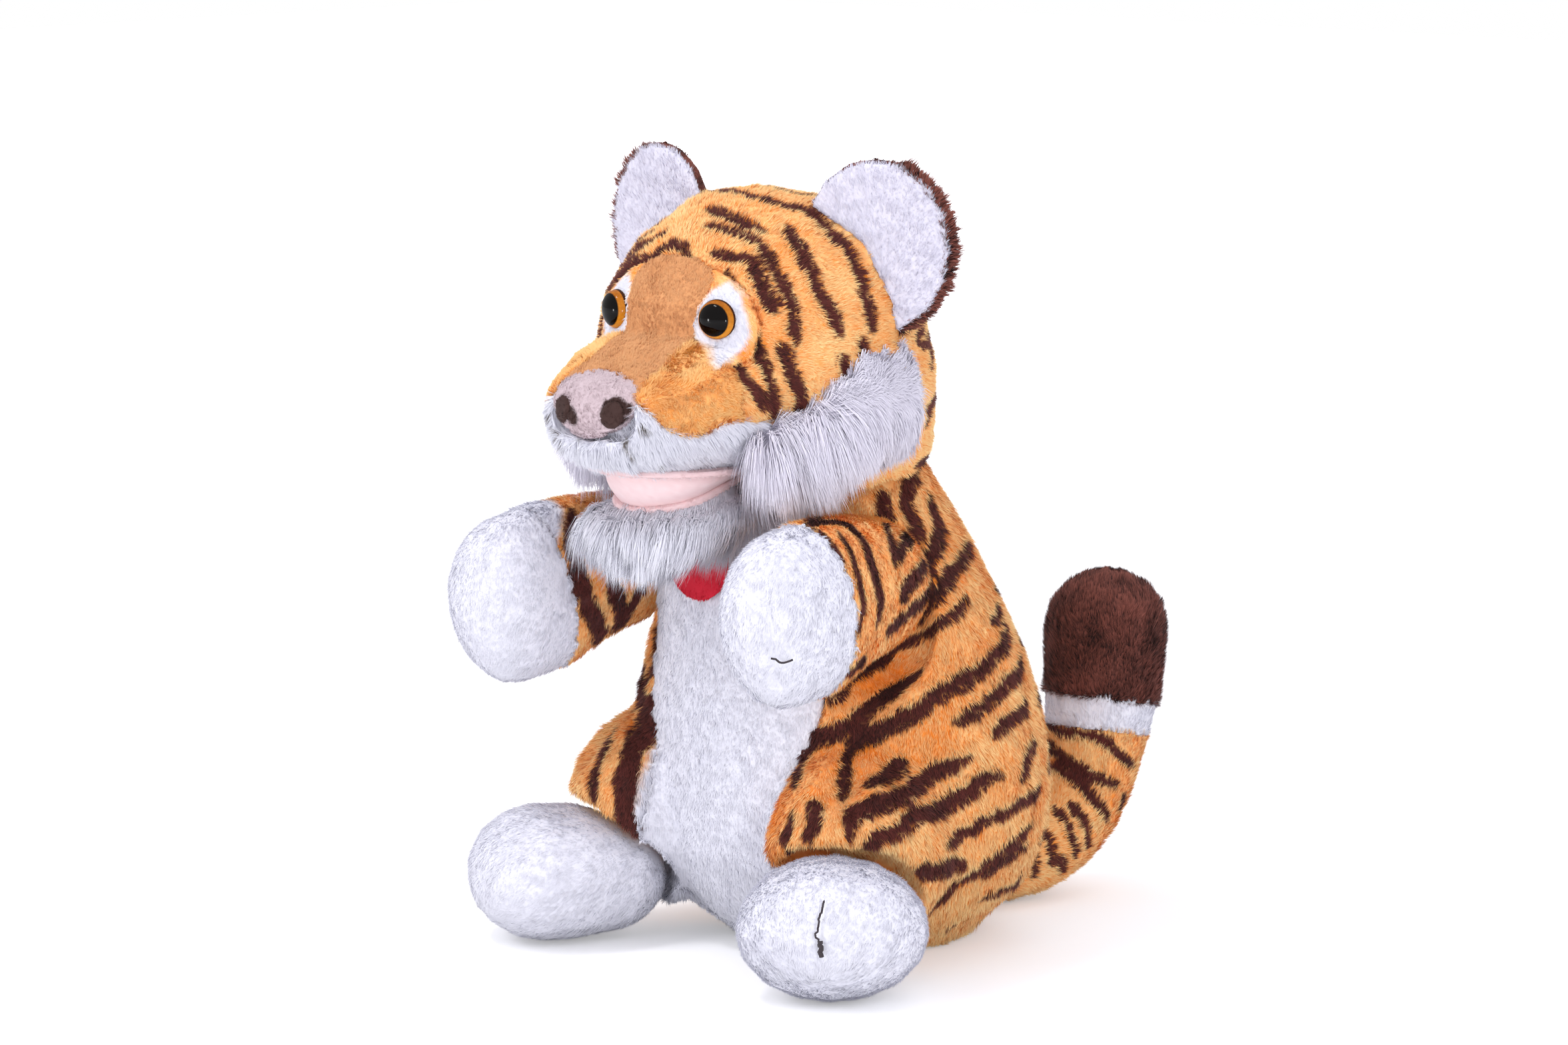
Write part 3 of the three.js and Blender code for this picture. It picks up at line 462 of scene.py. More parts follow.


# Tip and root colours of each finish and of its marks: the darker roots are painted shade of the depth of the
# pile
FINISHES = {
    "orange": plush_finish("orange_stripe_plush", "FFDC9A", "F28C2C", "6A2E26", "2A0C09", tone=0.26),
    "curly": plush_finish("curly_orange_plush", "FFD08A", "F09A42", tone=0.2),
    "white": plush_finish("white_plush", "EEEEF6", "E5E5EF", "8C8480", "4A423E", sheen=0.1),
    "fur": plush_finish("long_white_plush", "E9E6F1", "DEDAE8", sheen=0.1),
    "ear": plush_finish("white_ear_plush", "E6E4F0", "DAD8E6", sheen=0.1),
    "tan": plush_finish("tan_nap", "E6AC78", "CC8A54"),
    "mauve": plush_finish("mauve_nap", "D8C6CA", "C0ACB2", "4A322E", "2C1512"),
    "brown": plush_finish("dark_brown_plush", "8A4F43", "220A07", tone=0.4),
    "nostril": plush_finish("nostril_nap", "4E3631", "2C1512"),
    "pink": plush_finish("pink_nap", "FBE2E2", "F0CDCE"),
    "felt": plush_finish("red_felt", "E81C3A", "B40E26"),
    "lining": plush_finish("lining_cloth", "EAE5DC", "CFC8BB"),
}


# Pieces
def apply_modifier(piece, kind, **settings):
    made = piece.modifiers.new(kind.title(), kind)
    for key, value in settings.items():
        setattr(made, key, value)
    bpy.ops.object.modifier_apply(modifier=made.name)


def skin(name, nodes, voxel, sunk, soften, lumps=0.0, grooves=()):
    """The cloth of a stuffed piece: its solids, smoothed and let in by the height of the pile."""
    copies = []
    for node in nodes:
        copy = bpy.data.objects.new(name, frame["nodes"][node].data.copy())
        bpy.context.scene.collection.objects.link(copy)
        copies.append(copy)
    bpy.ops.object.select_all(action="DESELECT")
    for copy in copies:
        copy.select_set(True)
    piece = copies[0]
    bpy.context.view_layer.objects.active = piece
    if len(copies) > 1:
        for copy, side in zip(copies, (-1, 1)):
            points, _, _ = arrays(copy.data)
            seam = abs(points[:, 0]) < MIDDLE_SEAM
            points[seam, 0] = side * SEAM_OVERLAP
            put_points(copy.data, points)
        bpy.ops.object.join()
    piece.name = piece.data.name = name
    piece.data.materials.clear()
    bpy.ops.object.mode_set(mode="EDIT")
    bpy.ops.mesh.select_all(action="SELECT")
    bpy.ops.mesh.remove_doubles(threshold=1e-5)
    bpy.ops.object.mode_set(mode="OBJECT")
    apply_modifier(piece, "REMESH", mode="VOXEL", voxel_size=voxel * MM)
    apply_modifier(piece, "SMOOTH", factor=0.5, iterations=soften)
    points, normals, _ = arrays(piece.data)
    seam = sewn_on(points, normals, nodes)
    let_in = float(sunk) * (1 - seam) - SEAM_PROUD * seam
    if lumps:
        let_in -= lumps * ripple(points, 30, len(name))
    if grooves:
        tree = tree_of(piece.data)
        for wide, deep, line in grooves:
            away = -depth_in_lines(points, tree, [(0, line)], taper=1, around=3 * wide)
            let_in += deep * np.exp(-((away / wide) ** 2))
    put_points(piece.data, points - normals * let_in[:, None])
    bpy.ops.object.shade_smooth()
    return piece


def spread_on_map(points):
    """A place on the colour map for each root: round the longest side of the piece, and along it."""
    low, high = points.min(0), points.max(0)
    long = int(np.argmax(high - low))
    one, two = [k for k in range(3) if k != long]
    middle = (low + high) / 2
    angle = np.arctan2(points[:, one] - middle[one], points[:, two] - middle[two])
    along = (points[:, long] - low[long]) / (high[long] - low[long])
    return MAP_MARGIN + MAP_SPAN * np.stack([angle / (2 * math.pi) + 0.5, along], 1)


def pile(
    base,
    name,
    finish,
    comb,
    length=3.2,
    density=1.0,
    blades=5,
    lean=58,
    width=0.42,
    tuft=0.8,
    bend=0.0,
    droop=0.0,
    swirl=0.3,
    pull=0.35,
    seed=1,
    side_kept=0,
    even=0.8,
    ruffle=6,
):
    """Hairs of a pile, in tufts, rooted all over what shows of a skin."""
    points, normals, corners = arrays(base.data)
    names = ("air", "stripe", "short", "painted_shading", "pale")
    air, stripe, short, painted_shading, pale = (get_value(base.data, key) for key in names)
    corners = corners[air[corners].min(1) > 0.5]
    if side_kept:
        corners = corners[points[corners].mean(1)[:, 0] * side_kept >= 0]
    draw = np.random.default_rng(seed)
    a, b, c = (points[corners[:, k]] for k in range(3))
    area = np.linalg.norm(np.cross(b - a, c - a), axis=1) / 2
    pick = np.repeat(np.arange(len(corners)), draw.poisson(area * density))
    share = draw.random((len(pick), 2))
    over = share.sum(1) > 1
    share[over] = 1 - share[over]
    weight = np.column_stack([1 - share.sum(1), share])

    def at(values):
        found = values[corners[pick]]
        return np.einsum("nk,nk...->n...", weight, found)

    root, up = at(points), unit(at(normals))
    depth, tall, white = at(stripe), at(1 - short), at(pale)
    way = comb(root, up)
    way = unit(way - up * (way * up).sum(1, keepdims=True))
    side = np.cross(up, way)
    turn = (swirl * ripple(root, 10, seed) + draw.normal(0, SPREAD["turn"], len(root)))[:, None]
    way, side = way * np.cos(turn) + side * np.sin(turn), side * np.cos(turn) - way * np.sin(turn)
    tall = tall * length * (1 + 0.18 * ripple(root, 6, seed + 1)) * draw.uniform(even, 1.1, len(root))
    tilt = np.radians(lean + ruffle * ripple(root, 4, seed + 2))[:, None]
    lie = way * np.sin(tilt) + up * np.cos(tilt)
    tip = root + lie * tall[:, None]
    strands = ripple(root - 0.85 * way * (root * way).sum(1, keepdims=True), 1.7, seed + 5)
    own_tone = draw.normal(0, SPREAD["tuft_tone"], len(root))
    # The hair's tone: random, less the painted shading
    tone = 0.5 * ripple(root, 14, seed + 3) + 0.6 * strands + own_tone - at(painted_shading)

    def each(values):
        return np.repeat(values, blades, axis=0)

    total = len(root) * blades
    off = draw.normal(0, tuft / 2, (total, 2))
    foot = each(root) + each(way) * off[:, :1] + each(side) * off[:, 1:] - each(up) * ROOT_DEPTH
    lie = unit(each(lie) + draw.normal(0, SPREAD["lie"], (total, 3)))
    reach = (each(tall) * draw.uniform(*HAIR_LENGTHS, total))[:, None]
    end = foot + lie * reach
    end += (each(tip) - end) * pull
    flat = unit(np.cross(end - foot, each(up)))
    roll = draw.normal(0, SPREAD["roll"], (total, 1))
    flat = flat * np.cos(roll) + np.cross(lie, flat) * np.sin(roll)
    half = flat * (width / 2 * draw.uniform(*HAIR_WIDTHS, (total, 1)))
    if bend:
        fall = np.array([0, 0, -droop])
        middle = foot + (end - foot) * 0.5 + each(up) * reach * 0.5 * bend
        end = end + fall * reach - each(up) * reach * bend * 0.4
        shape = [foot - half, foot + half, middle - half * 0.85, middle + half * 0.85, end]
        faces = [(0, 1, 3), (0, 3, 2), (2, 3, 4)]
        level = [0, 0, 0.55, 0.55, 1]
        spots = [(-1, 0), (1, 0), (-0.8, 1.2), (0.8, 1.2), (0, 2.4)]
    else:
        shape, faces, level = [foot - half, foot + half, end], [(0, 1, 2)], [0, 0, 1]
        spots = [(-1, 0), (1, 0), (0, 2)]
    count = len(shape)
    vertices = np.stack(shape, 1).reshape(-1, 3)
    vertices[:, 2] = np.maximum(vertices[:, 2], LOWEST_HAIR)
    corners = (np.arange(total)[:, None, None] * count + np.array(faces)[None]).ravel()
    mesh = bpy.data.meshes.new(name)
    mesh.vertices.add(len(vertices))
    mesh.vertices.foreach_set("co", (vertices * MM).astype(np.float32).ravel())
    mesh.loops.add(len(corners))
    mesh.loops.foreach_set("vertex_index", corners.astype(np.int32))
    mesh.polygons.add(len(corners) // 3)
    mesh.polygons.foreach_set("loop_start", np.arange(0, len(corners), 3, dtype=np.int32))
    mesh.update(calc_edges=True)
    onto = np.repeat(spread_on_map(each(root)), count, axis=0) + np.tile(spots, (total, 1)) * BLADE_ON_MAP
    mesh.uv_layers.new(name="OFBake").data.foreach_set("uv", onto[corners].astype(np.float32).ravel())
    dye = np.clip((each(depth) + draw.normal(0, SPREAD["dye"], total)) / 0.4 + 0.5, 0, 1)
    put_value(mesh, "dye", np.repeat(dye, count))
    put_value(mesh, "pale", np.repeat(each(white), count))
    shade = each(tone) + draw.normal(0, SPREAD["hair_tone"], total)
    put_value(mesh, "shade", np.repeat(shade, count))
    put_value(mesh, "along", np.tile(level, total))
    own = np.cross(flat, unit(end - foot))
    soft = unit(np.repeat(each(up), count, axis=0) + np.repeat(own, count, axis=0) * 0.3)
    mesh.shade_smooth()
    mesh.normals_split_custom_set_from_vertices(soft.astype(np.float32))
    made = bpy.data.objects.new(name, mesh)
    bpy.context.scene.collection.objects.link(made)
    made.data.materials.append(finish)
    return made


def plush(
    name,
    nodes,
    body,
    slot,
    finish,
    comb=None,
    voxel=1.6,
    sunk=1.2,
    soften=6,
    lumps=0.0,
    grooves=(),
    stripes=(),
    deep=(),
    trimmed=(),
    pale=None,
    shorter=None,
    fill=0.6,
    halves=False,
    **hairs,
):
    """A stuffed piece: its skin, and its pile if a way to comb it is given."""
    base = skin(name, nodes, voxel, sunk, soften, lumps, grooves)
    if not comb:
        apply_modifier(base, "DECIMATE", ratio=LININGS_KEPT)
    points, normals, _ = arrays(base.data)
    stripe = np.full(len(points), -3.0)
    if stripes:
        lines = [
            (STRIPE_GROWTH * wide + STRIPE_EXTRA, combed_back(line, comb, 0.5 * hairs["length"]))
            for wide, line in stripes
        ]
        stripe = depth_in_lines(points, tree_of(base.data), lines)
    put_value(base.data, "stripe", stripe)
    put_value(base.data, "dye", np.clip(stripe / 0.6 + 0.5, 0, 1))
    # A skin under a pile is coloured near its root colour: painted shade beneath the hairs
    put_value(base.data, "along", np.full(len(points), 0.4 if comb else 0.8))
    # Painted shading: spots listed in deep dye the pile towards its root colour, and a negative amount makes
    # it paler
    painted_shading = np.zeros(len(points))
    for *place, radius, amount in deep:
        painted_shading += amount * np.exp(-((points - place) ** 2).sum(1) / radius**2)
    put_value(base.data, "painted_shading", painted_shading)
    put_value(base.data, "shade", ripple(points, 8, 3) - painted_shading)
    if pale:
        put_value(base.data, "pale", pale(points))
    if shorter:
        put_value(base.data, "short", shorter(points))
    if trimmed:
        near = depth_in_lines(points, tree_of(base.data), [(0, line) for line in trimmed], taper=1, around=6)
        put_value(base.data, "short", 0.6 * np.exp(-((near / 1.6) ** 2)))
    base.data.materials.append(FINISHES[finish])
    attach(base, body)
    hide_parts(*nodes)
    if comb:
        low = sunk + LOOK_FROM
        high = low + LOOK_STEP + 2 * lumps + max([deepness for _, deepness, _ in grooves], default=0)
        put_value(base.data, "air", widened(base.data, open_to_air(points, normals, (low, high)), 2))
        for side, label in ((1, "_left"), (-1, "_right")) if halves else ((0, ""),):
            hairs.update(seed=len(name) + side, side_kept=side)
            hair = pile(base, f"{name}_pile{label}", FINISHES[finish], comb, **hairs)
            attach(hair, body)
    return base


def combed_back(line, comb, by):
    """Where the hairs are rooted whose tips lie along a line."""
    points = np.array(line, float)
    return points - unit(comb(points, np.zeros_like(points))) * by


def toward(x, y, z):
    """Combs all one way."""
    return lambda points, normals: np.tile(np.array([x, y, z], float), (len(points), 1))


def away_from(x, y, z, more=(0, 0, 0)):
    """Combs outward from a point."""
    return lambda points, normals: unit(points - np.array([x, y, z])) + np.array(more)


def down_back(points, normals):
    """The trunk's pile falls, and parts a little at the middle of the back."""
    return np.column_stack([0.12 * np.sign(points[:, 0]), np.zeros(len(points)), -np.ones(len(points))])


def share_inside(*depths):
    """1 where all the depths (in millimetres) are positive, falling to 0 over 1.5 mm."""
    return np.clip(np.min(depths, axis=0) / 1.5 + 0.5, 0, 1)


def beside_the_belly(points):
    """The trunk's cloth that is as white as the belly's."""
    x, y, z = points.T
    shares = []
    for box in WHITE_BOXES:
        shares.append(share_inside(box["left"] - x, x - box["right"], box["back"] - y, box["top"] - z))
    return np.maximum(*shares)


def ruff_way(sign):
    """A ruff's pile hangs, but its top is combed up to the ear."""

    start, over = RUFF_PARTS

    def comb(points, normals):
        rise = np.clip((points[:, 2] - start) / over, -1, 1)
        return np.column_stack([np.full(len(points), sign * 0.15), np.full(len(points), 0.5), rise])

    return comb


def shorter_behind(points):
    """A ruff is long in front and short behind and above."""
    shares = [(points[:, k] - start) / over for k, (start, over) in ((1, RUFF_BEHIND), (2, RUFF_ABOVE))]
    return np.clip(np.maximum(*shares), 0, RUFF_LOSS)


def shorter_inside(points):
    """An ear's back shows past its front only on the outer side."""
    start, over = EAR_INSIDE
    return np.clip((start - abs(points[:, 0])) / over, 0, EAR_LOSS)


def shorter_above(points):
    """The jaw's pile starts short at the edge of the mouth."""
    start, over = JAW_ABOVE
    return np.clip((points[:, 2] - start) / over, 0, JAW_LOSS)


def under_the_nose(points):
    _, y, z = points.T
    return share_inside(NOSE_BACK - y, NOSE_TOP - z)


def top_of_far_sleeve(points):
    """The far sleeve's seam slants: its cloth in front of this plane is white."""
    _, y, z = points.T
    return share_inside(z - y - FAR_SEAM, z - FAR_SEAM_LOW)


def in_patch(points):
    """1 inside the outline of an eye patch, seen from the front."""
    place = np.stack([abs(points[:, 0]), points[:, 2]], 1)
    edge = np.array(PATCH_OUTLINE, float)
    after = np.roll(edge, -1, 0)
    along = after - edge
    share = np.clip(((place[:, None] - edge) * along).sum(2) / (along**2).sum(1), 0, 1)
    away = np.linalg.norm(place[:, None] - edge - share[..., None] * along, axis=2).min(1)
    spans = (edge[:, 1] > place[:, None, 1]) != (after[:, 1] > place[:, None, 1])
    slope = along[:, 0] / np.where(along[:, 1], along[:, 1], 1)
    cross = edge[:, 0] + (place[:, None, 1] - edge[:, 1]) * slope
    inside = (spans & (place[:, None, 0] < cross)).sum(1) % 2
    return share_inside(np.where(inside, away, -away) - 0.4)


def up_the_tail(points, normals):
    """Along the tail, which lies on the floor and then stands up."""
    start, over = TAIL_RISES
    rise = np.clip((points[:, 1] - start) / over, 0, 1)
    return np.column_stack([np.zeros(len(points)), 1 - rise, rise])


ORANGE, WHITE = "plush_orange", "plush_white"
BACK_STRIPES = [
    (1.5, [(k * 62, 16, z - 7), (k * 46, 36, z - 4), (k * 24, 49, z), (-k * 8, 54, z + 3)])
    for k, z in zip([1, -1] * 6, range(20, 152, 11))
]
HEAD_BACK_STRIPES = [
    (1.4, [(k * 52, -28, z - 6), (k * 38, -8, z - 3), (k * 18, 3, z), (-k * 7, 5, z + 2)])
    for k, z in zip([1, -1] * 4, range(166, 246, 10))
]
CUT_SHORT = [(wide, line[:5]) for wide, line in BODY_STRIPES[12:15:2]]
FAR_SIDE_STRIPES = mirrored(BODY_STRIPES[:12] + CUT_SHORT + BODY_STRIPES[15:20])
FAR_TAIL_STRIPES = [(wide, [(16 - x, y, z) for x, y, z in line]) for wide, line in TAIL_STRIPES]
# Painted shade where the thighs and arms meet the trunk: the pile is dyed towards its darker root colour
# there. Middle, radius and how much
BODY_PAINTED_SHADE = [
    (30, -64, 45, 16, 2.6), (36, -66, 25, 14, 2.0), (48, -52, 72, 12, 1.6), (46, -44, 100, 12, 2.2),
    (60, -34, 80, 12, 0.8), (-30, -66, 40, 10, 1.2), (48, -30, 125, 14, 1.5),
]

# Painted light along the creases beside the bridge: the pile is dyed paler there, so the crease shows less
# shade
BRIDGE_PAINTED_LIGHT = [(sign * 17.5, -102.5, 201.5, 8, -2.4) for sign in (1, -1)]

STRIPED = {"length": 3.2, "density": 3.0, "blades": 2, "lean": 62, "width": 0.36, "tuft": 0.4, "pull": 0.2}
SHORT = {
    "length": 2.2, "density": 2.8, "blades": 2, "lean": 68, "width": 0.32, "tuft": 0.4, "swirl": 0.12,
    "ruffle": 3, "even": 0.9,
}
plush(
    "body_plush", ["body_shell_left", "body_shell_right"], "body", ORANGE, "orange", down_back,
    voxel=2.2, lumps=0.5, stripes=BODY_STRIPES + FAR_SIDE_STRIPES + FAR_BODY_STRIPES + BACK_STRIPES,
    deep=BODY_PAINTED_SHADE, pale=beside_the_belly, grooves=[(6, 2.2, HIP_DIMPLE)], halves=True, **STRIPED,
)
plush(
    "belly_plush", ["belly_panel"], "body", WHITE, "white", toward(0, 0, -1),
    voxel=1.6, lumps=0.4, **SHORT,
)
plush(
    "head_plush", ["head_shell_left", "head_shell_right"], "head", ORANGE, "orange",
    away_from(0, -120, 205, (0, 0, -0.15)), voxel=2.0, lumps=0.3, halves=True,
    stripes=HEAD_STRIPES + mirrored(HEAD_STRIPES[7:]) + HEAD_BACK_STRIPES,
    pale=under_the_nose, deep=BRIDGE_PAINTED_LIGHT, **{**STRIPED, "length": 2.6},
)

SIDES = (("left", 1), ("right", -1))
NAP = {"voxel": 1.0, "sunk": 0.5, "soften": 3, "density": 3.0, "lean": 45, "width": 0.26, "tuft": 0.5}
plush(
    "nose_bridge_nap", ["nose_bridge"], "head", "plush_tan", "tan", toward(0, 1, 0.6),
    length=1.3, **{**NAP, "voxel": 0.7},
)
plush(
    "nose_nap", ["nose_panel"], "head", "plush_mauve", "mauve", toward(0, 0.5, 1),
    length=1.0, stripes=NOSTRIL_MARKS, **NAP,
)
plush(
    "lip_plush", ["upper_lip"], "head", WHITE, "white", away_from(0, -128, 190, (0, 0, -1.0)),
    voxel=1.2, soften=3, sunk=0.8, stripes=LIP_DOTS + mirrored(LIP_DOTS[1:]),
    **{**SHORT, "length": 4.4, "lean": 62},
)
MOUTH_NAP = {**NAP, "length": 0.9, "voxel": 0.7, "sunk": 0.1, "density": 2.0, "blades": 4}
plush("mouth_roof_nap", ["mouth_roof"], "head", "plush_pink", "pink", toward(0, 1, 0), **MOUTH_NAP)
plush("mouth_floor_nap", ["mouth_floor"], "jaw", "plush_pink", "pink", toward(0, 1, 0), **MOUTH_NAP)
LONG_FUR = {
    "voxel": 1.4, "density": 2.9, "blades": 4, "width": 0.28, "tuft": 0.9, "bend": 0.2, "droop": 0.4,
    "even": 0.65, "pull": 0.25,
}
plush(
    "jaw_plush", ["jaw"], "jaw", WHITE, "white", away_from(0, -62, 156, (0, 0, -0.8)),
    length=11, lean=66, shorter=shorter_above, **LONG_FUR,
)
for side, sign in SIDES:
    plush(
        f"cheek_nap_{side}", [f"cheek_panel_{side}"], "head", ORANGE, "curly", away_from(0, -125, 200),
        voxel=0.6, soften=5, sunk=0.3, deep=BRIDGE_PAINTED_LIGHT, length=1.9, density=2.6, swirl=1.4, lean=42,
        width=0.3, tuft=0.9, pull=0.6,
    )
    plush(
        f"eye_patch_nap_{side}", [f"eye_patch_{side}"], "head", WHITE, "orange",
        toward(sign * 0.5, 0.3, -1), voxel=0.7, soften=3, sunk=0.4, pale=in_patch, deep=BRIDGE_PAINTED_LIGHT,
        **{**SHORT, "length": 1.7},
    )
    plush(
        f"nostril_nap_{side}", [f"nostril_{side}"], "head", "plush_brown", "nostril", toward(0, 0.3, 1),
        **MOUTH_NAP,
    )
    plush(
        f"ear_front_plush_{side}", [f"ear_front_{side}"], "head", WHITE, "ear",
        away_from(sign * 42, -50, 205), voxel=1.2, soften=3, sunk=0.4, **SHORT,
    )
    plush(
        f"ear_back_plush_{side}", [f"ear_back_{side}"], "head", "plush_brown", "brown",
        away_from(sign * 42, -50, 205, (0, 0.9, 0)), voxel=1.2, soften=3, sunk=0.9, length=3.6,
        density=2.2, blades=3, lean=56, width=0.32, bend=0.1, tuft=0.6, shorter=shorter_inside,
    )
    plush(
        f"cheek_ruff_plush_{side}", [f"cheek_ruff_{side}"], "head", WHITE, "fur", ruff_way(sign),
        length=13, lean=64, swirl=0.25, shorter=shorter_behind, **LONG_FUR,
    )
    near = sign > 0
    far_stripes = SLEEVE_RIGHT_STRIPES + mirrored(SLEEVE_LEFT_STRIPES[4:8])
    plush(
        f"sleeve_plush_{side}", [f"sleeve_{side}"], f"arm_{side}", ORANGE, "orange",
        toward(sign * 0.1, -0.6, -1), stripes=SLEEVE_LEFT_STRIPES if near else far_stripes,
        pale=None if near else top_of_far_sleeve, fill=0.8, **{**STRIPED, "length": 2.6},
    )
    plush(
        f"paw_plush_{side}", [f"paw_{side}"], f"arm_{side}", WHITE, "white", toward(0, -0.5, -1), fill=0.8,
        grooves=[(2.4, 1.8, PAW_CREASE)] if near else [], trimmed=[PAW_THREAD] if near else [], **SHORT,
    )
    plush(
        f"foot_plush_{side}", [f"foot_{side}"], f"foot_{side}", WHITE, "white",
        toward(sign * 0.4, -0.7, -0.6), fill=0.8, voxel=1.8,
        grooves=[(1.6, 1.0, FOOT_THREAD)] if near else [(3.5, 1.2, FAR_FOOT_DIMPLE)],
        trimmed=[FOOT_THREAD] if near else [], **SHORT,
    )
plush(
    "tail_plush", ["tail_tube"], "tail", ORANGE, "orange", up_the_tail,
    stripes=TAIL_STRIPES + FAR_TAIL_STRIPES, fill=0.8, **{**STRIPED, "length": 2.8},
)
plush("tail_band_plush", ["tail_band"], "tail", WHITE, "white", toward(0, 0, 1), soften=3, fill=0.8, **SHORT)
plush(
    "tail_tip_plush", ["tail_tip"], "tail", "plush_brown", "brown", toward(0, 0, 1), length=3.6,
    density=2.6, blades=3, lean=60, width=0.32, tuft=0.6, fill=0.8,
)
plush(
    "tab_felt", ["felt_tab"], "tab", "felt_red", "felt", toward(0.3, 0, -1), voxel=0.5, sunk=0.1,
    soften=2, fill=0.9, length=0.9, density=4, lean=60, width=0.2, tuft=0.4,
)
plush("hem_plush", ["hem_band"], "body", ORANGE, "orange", voxel=1.2, sunk=0.1, soften=3)
LINING = {"sunk": 0.0, "soften": 2, "fill": 0.3}
plush("sleeve_lining_cloth", ["body_lining"], "body", "lining", "lining", voxel=1.2, **LINING)
plush("neck_lining_cloth", ["neck_sleeve"], "neck", "lining", "lining", voxel=0.9, **LINING)


def new_piece(name, points, faces, finish):
    mesh = bpy.data.meshes.new(name)
    mesh.from_pydata((np.array(points) * MM).tolist(), [], faces)
    mesh.shade_smooth()
    made = bpy.data.objects.new(name, mesh)
    bpy.context.scene.collection.objects.link(made)
    made.data.materials.append(finish)
    return made


# Safety eyes: (radius, height) from the end of the shank to the top of the dome
EYE_RADIUS = 6.3
EYE_PROFILE = [(1.6, -13), (1.6, 0), (6.0, 0), (EYE_RADIUS, 0.3), (EYE_RADIUS, 0.9), (6.1, 1.25)]
EYE_PROFILE += [(6.0 * math.cos(a), 1.35 + 3.85 * math.sin(a)) for a in np.linspace(0.08, 1.5, 12)]
EYE_TURN = math.radians(16)
EYE_SIDES = 48


def eye_finish():
    """Clear dome over a black pupil and an amber ring. The ring is painted brighter at its lower edge:
    painted light, where light through the dome gathers.
    """
    finish = Finish("eye_amber_dome", 0.3, coat=0.4)
    finish.set("Specular IOR Level", 0.0)
    finish.set("Coat IOR", 1.38)
    reach = finish.value("reach")
    low = finish.value("low")
    rays = finish.noise(900, 3.0)
    # Painted light: the ring is brighter towards its lower edge
    iris = finish.mix((low * 0.55 + rays * 0.5).clamped(), colour("7A2F04"), colour("F0A030"))
    inner = finish.mix(((reach - 0.8) * 22).clamped(), colour("060303"), iris)
    finish.set("Base Color", finish.mix(((reach - 0.96) * 30).clamped(), inner, colour("3A1A08")))
    return finish.material


def thread_finish():
    """Twisted dark cotton."""
    finish = Finish("stitch_thread", 0.8, 0.2)
    twist = finish.noise(2500, 2.0)
    finish.set("Base Color", finish.mix(twist, colour("141013"), colour("4A4046")))
    finish.bump(twist, 0.0002)
    return finish.material


def plastic_finish():
    """Milky moulded plastic with a faint grain."""
    finish = Finish("washer_plastic", 0.45)
    finish.set("Base Color", finish.mix(finish.noise(700), colour("E6E6E2"), colour("F4F4F0")))
    finish.bump(finish.noise(2200), 0.0001, 0.3)
    return finish.material


def make_eye(side, sign, finish):
    look = np.array([sign * math.sin(EYE_TURN), -math.cos(EYE_TURN), 0])
    node_points, _, _ = arrays(frame["nodes"][f"eye_{side}"].data)
    top_place = node_points[np.argmax(node_points @ look)]
    place = top_place - look * EYE_PROFILE[-1][1]
    across = unit(np.cross([0, 0, 1.0], look))
    angle = np.arange(EYE_SIDES) * 2 * math.pi / EYE_SIDES
    ring = np.cos(angle)[:, None] * across + np.sin(angle)[:, None] * np.cross(look, across)
    points = np.concatenate([place + look * high + ring * wide for wide, high in EYE_PROFILE])
    faces = [tuple(range(EYE_SIDES))[::-1]]
    for r in range(len(EYE_PROFILE) - 1):
        for k in range(EYE_SIDES):
            a, b = r * EYE_SIDES + k, r * EYE_SIDES + (k + 1) % EYE_SIDES
            faces.append((a, b, b + EYE_SIDES, a + EYE_SIDES))
    faces.append(tuple((len(EYE_PROFILE) - 1) * EYE_SIDES + k for k in range(EYE_SIDES)))
    eye = new_piece(f"safety_eye_{side}", points, faces, finish)
    reach = np.repeat([wide / EYE_RADIUS if high > 1 else 2.0 for wide, high in EYE_PROFILE], EYE_SIDES)
    put_value(eye.data, "reach", reach)
    # Painted light: the value that brightens the ring towards its lower edge
    put_value(eye.data, "low", 0.5 - np.tile(np.sin(angle), len(EYE_PROFILE)) * 0.5)
    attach(eye, "head")
    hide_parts(f"eye_{side}")


EYE_FINISH, WASHER_FINISH, THREAD_FINISH = eye_finish(), plastic_finish(), thread_finish()
for side, sign in SIDES:
    make_eye(side, sign, EYE_FINISH)
    washer = frame["nodes"][f"eye_washer_{side}"]
    for index in range(len(washer.material_slots)):
        washer.material_slots[index].material = WASHER_FINISH

# Mouth: the pink cloth that joins its roof to its floor, in rows from the roof down
ROOF_EDGE = {"wide": 20.5, "middle": -89.5, "back": -76, "z": 163.4}
FLOOR_EDGE = {"wide": 16.5, "middle": 19, "back": 2}
FLOOR_AT, FLOOR_ALONG = np.array([0, -72.0, 162.2]), np.array([0, -0.9615, -0.2747])
MOUTH_MIDDLE = np.array([0, -84, 158])
FOLD_ROWS, FOLD_BULGE = 12, 1.6
FOLD_STRAIGHT, FOLD_ARC = 8, 37  # points along each straight side of the mouth, and round its front


def round_the_mouth(edge):
    """How far across and along the mouth each point of an edge is: a side, the round front, a side."""
    wide, middle, back = edge["wide"], edge["middle"], edge["back"]
    share = np.arange(FOLD_STRAIGHT) / FOLD_STRAIGHT
    side = np.column_stack([np.full(FOLD_STRAIGHT, wide), back + share * (middle - back)])
    turn = np.linspace(0, math.pi, FOLD_ARC)
    front = np.column_stack([wide * np.cos(turn), middle + math.copysign(wide, middle - back) * np.sin(turn)])
    return np.concatenate([side, front, side[::-1] * [-1, 1]])


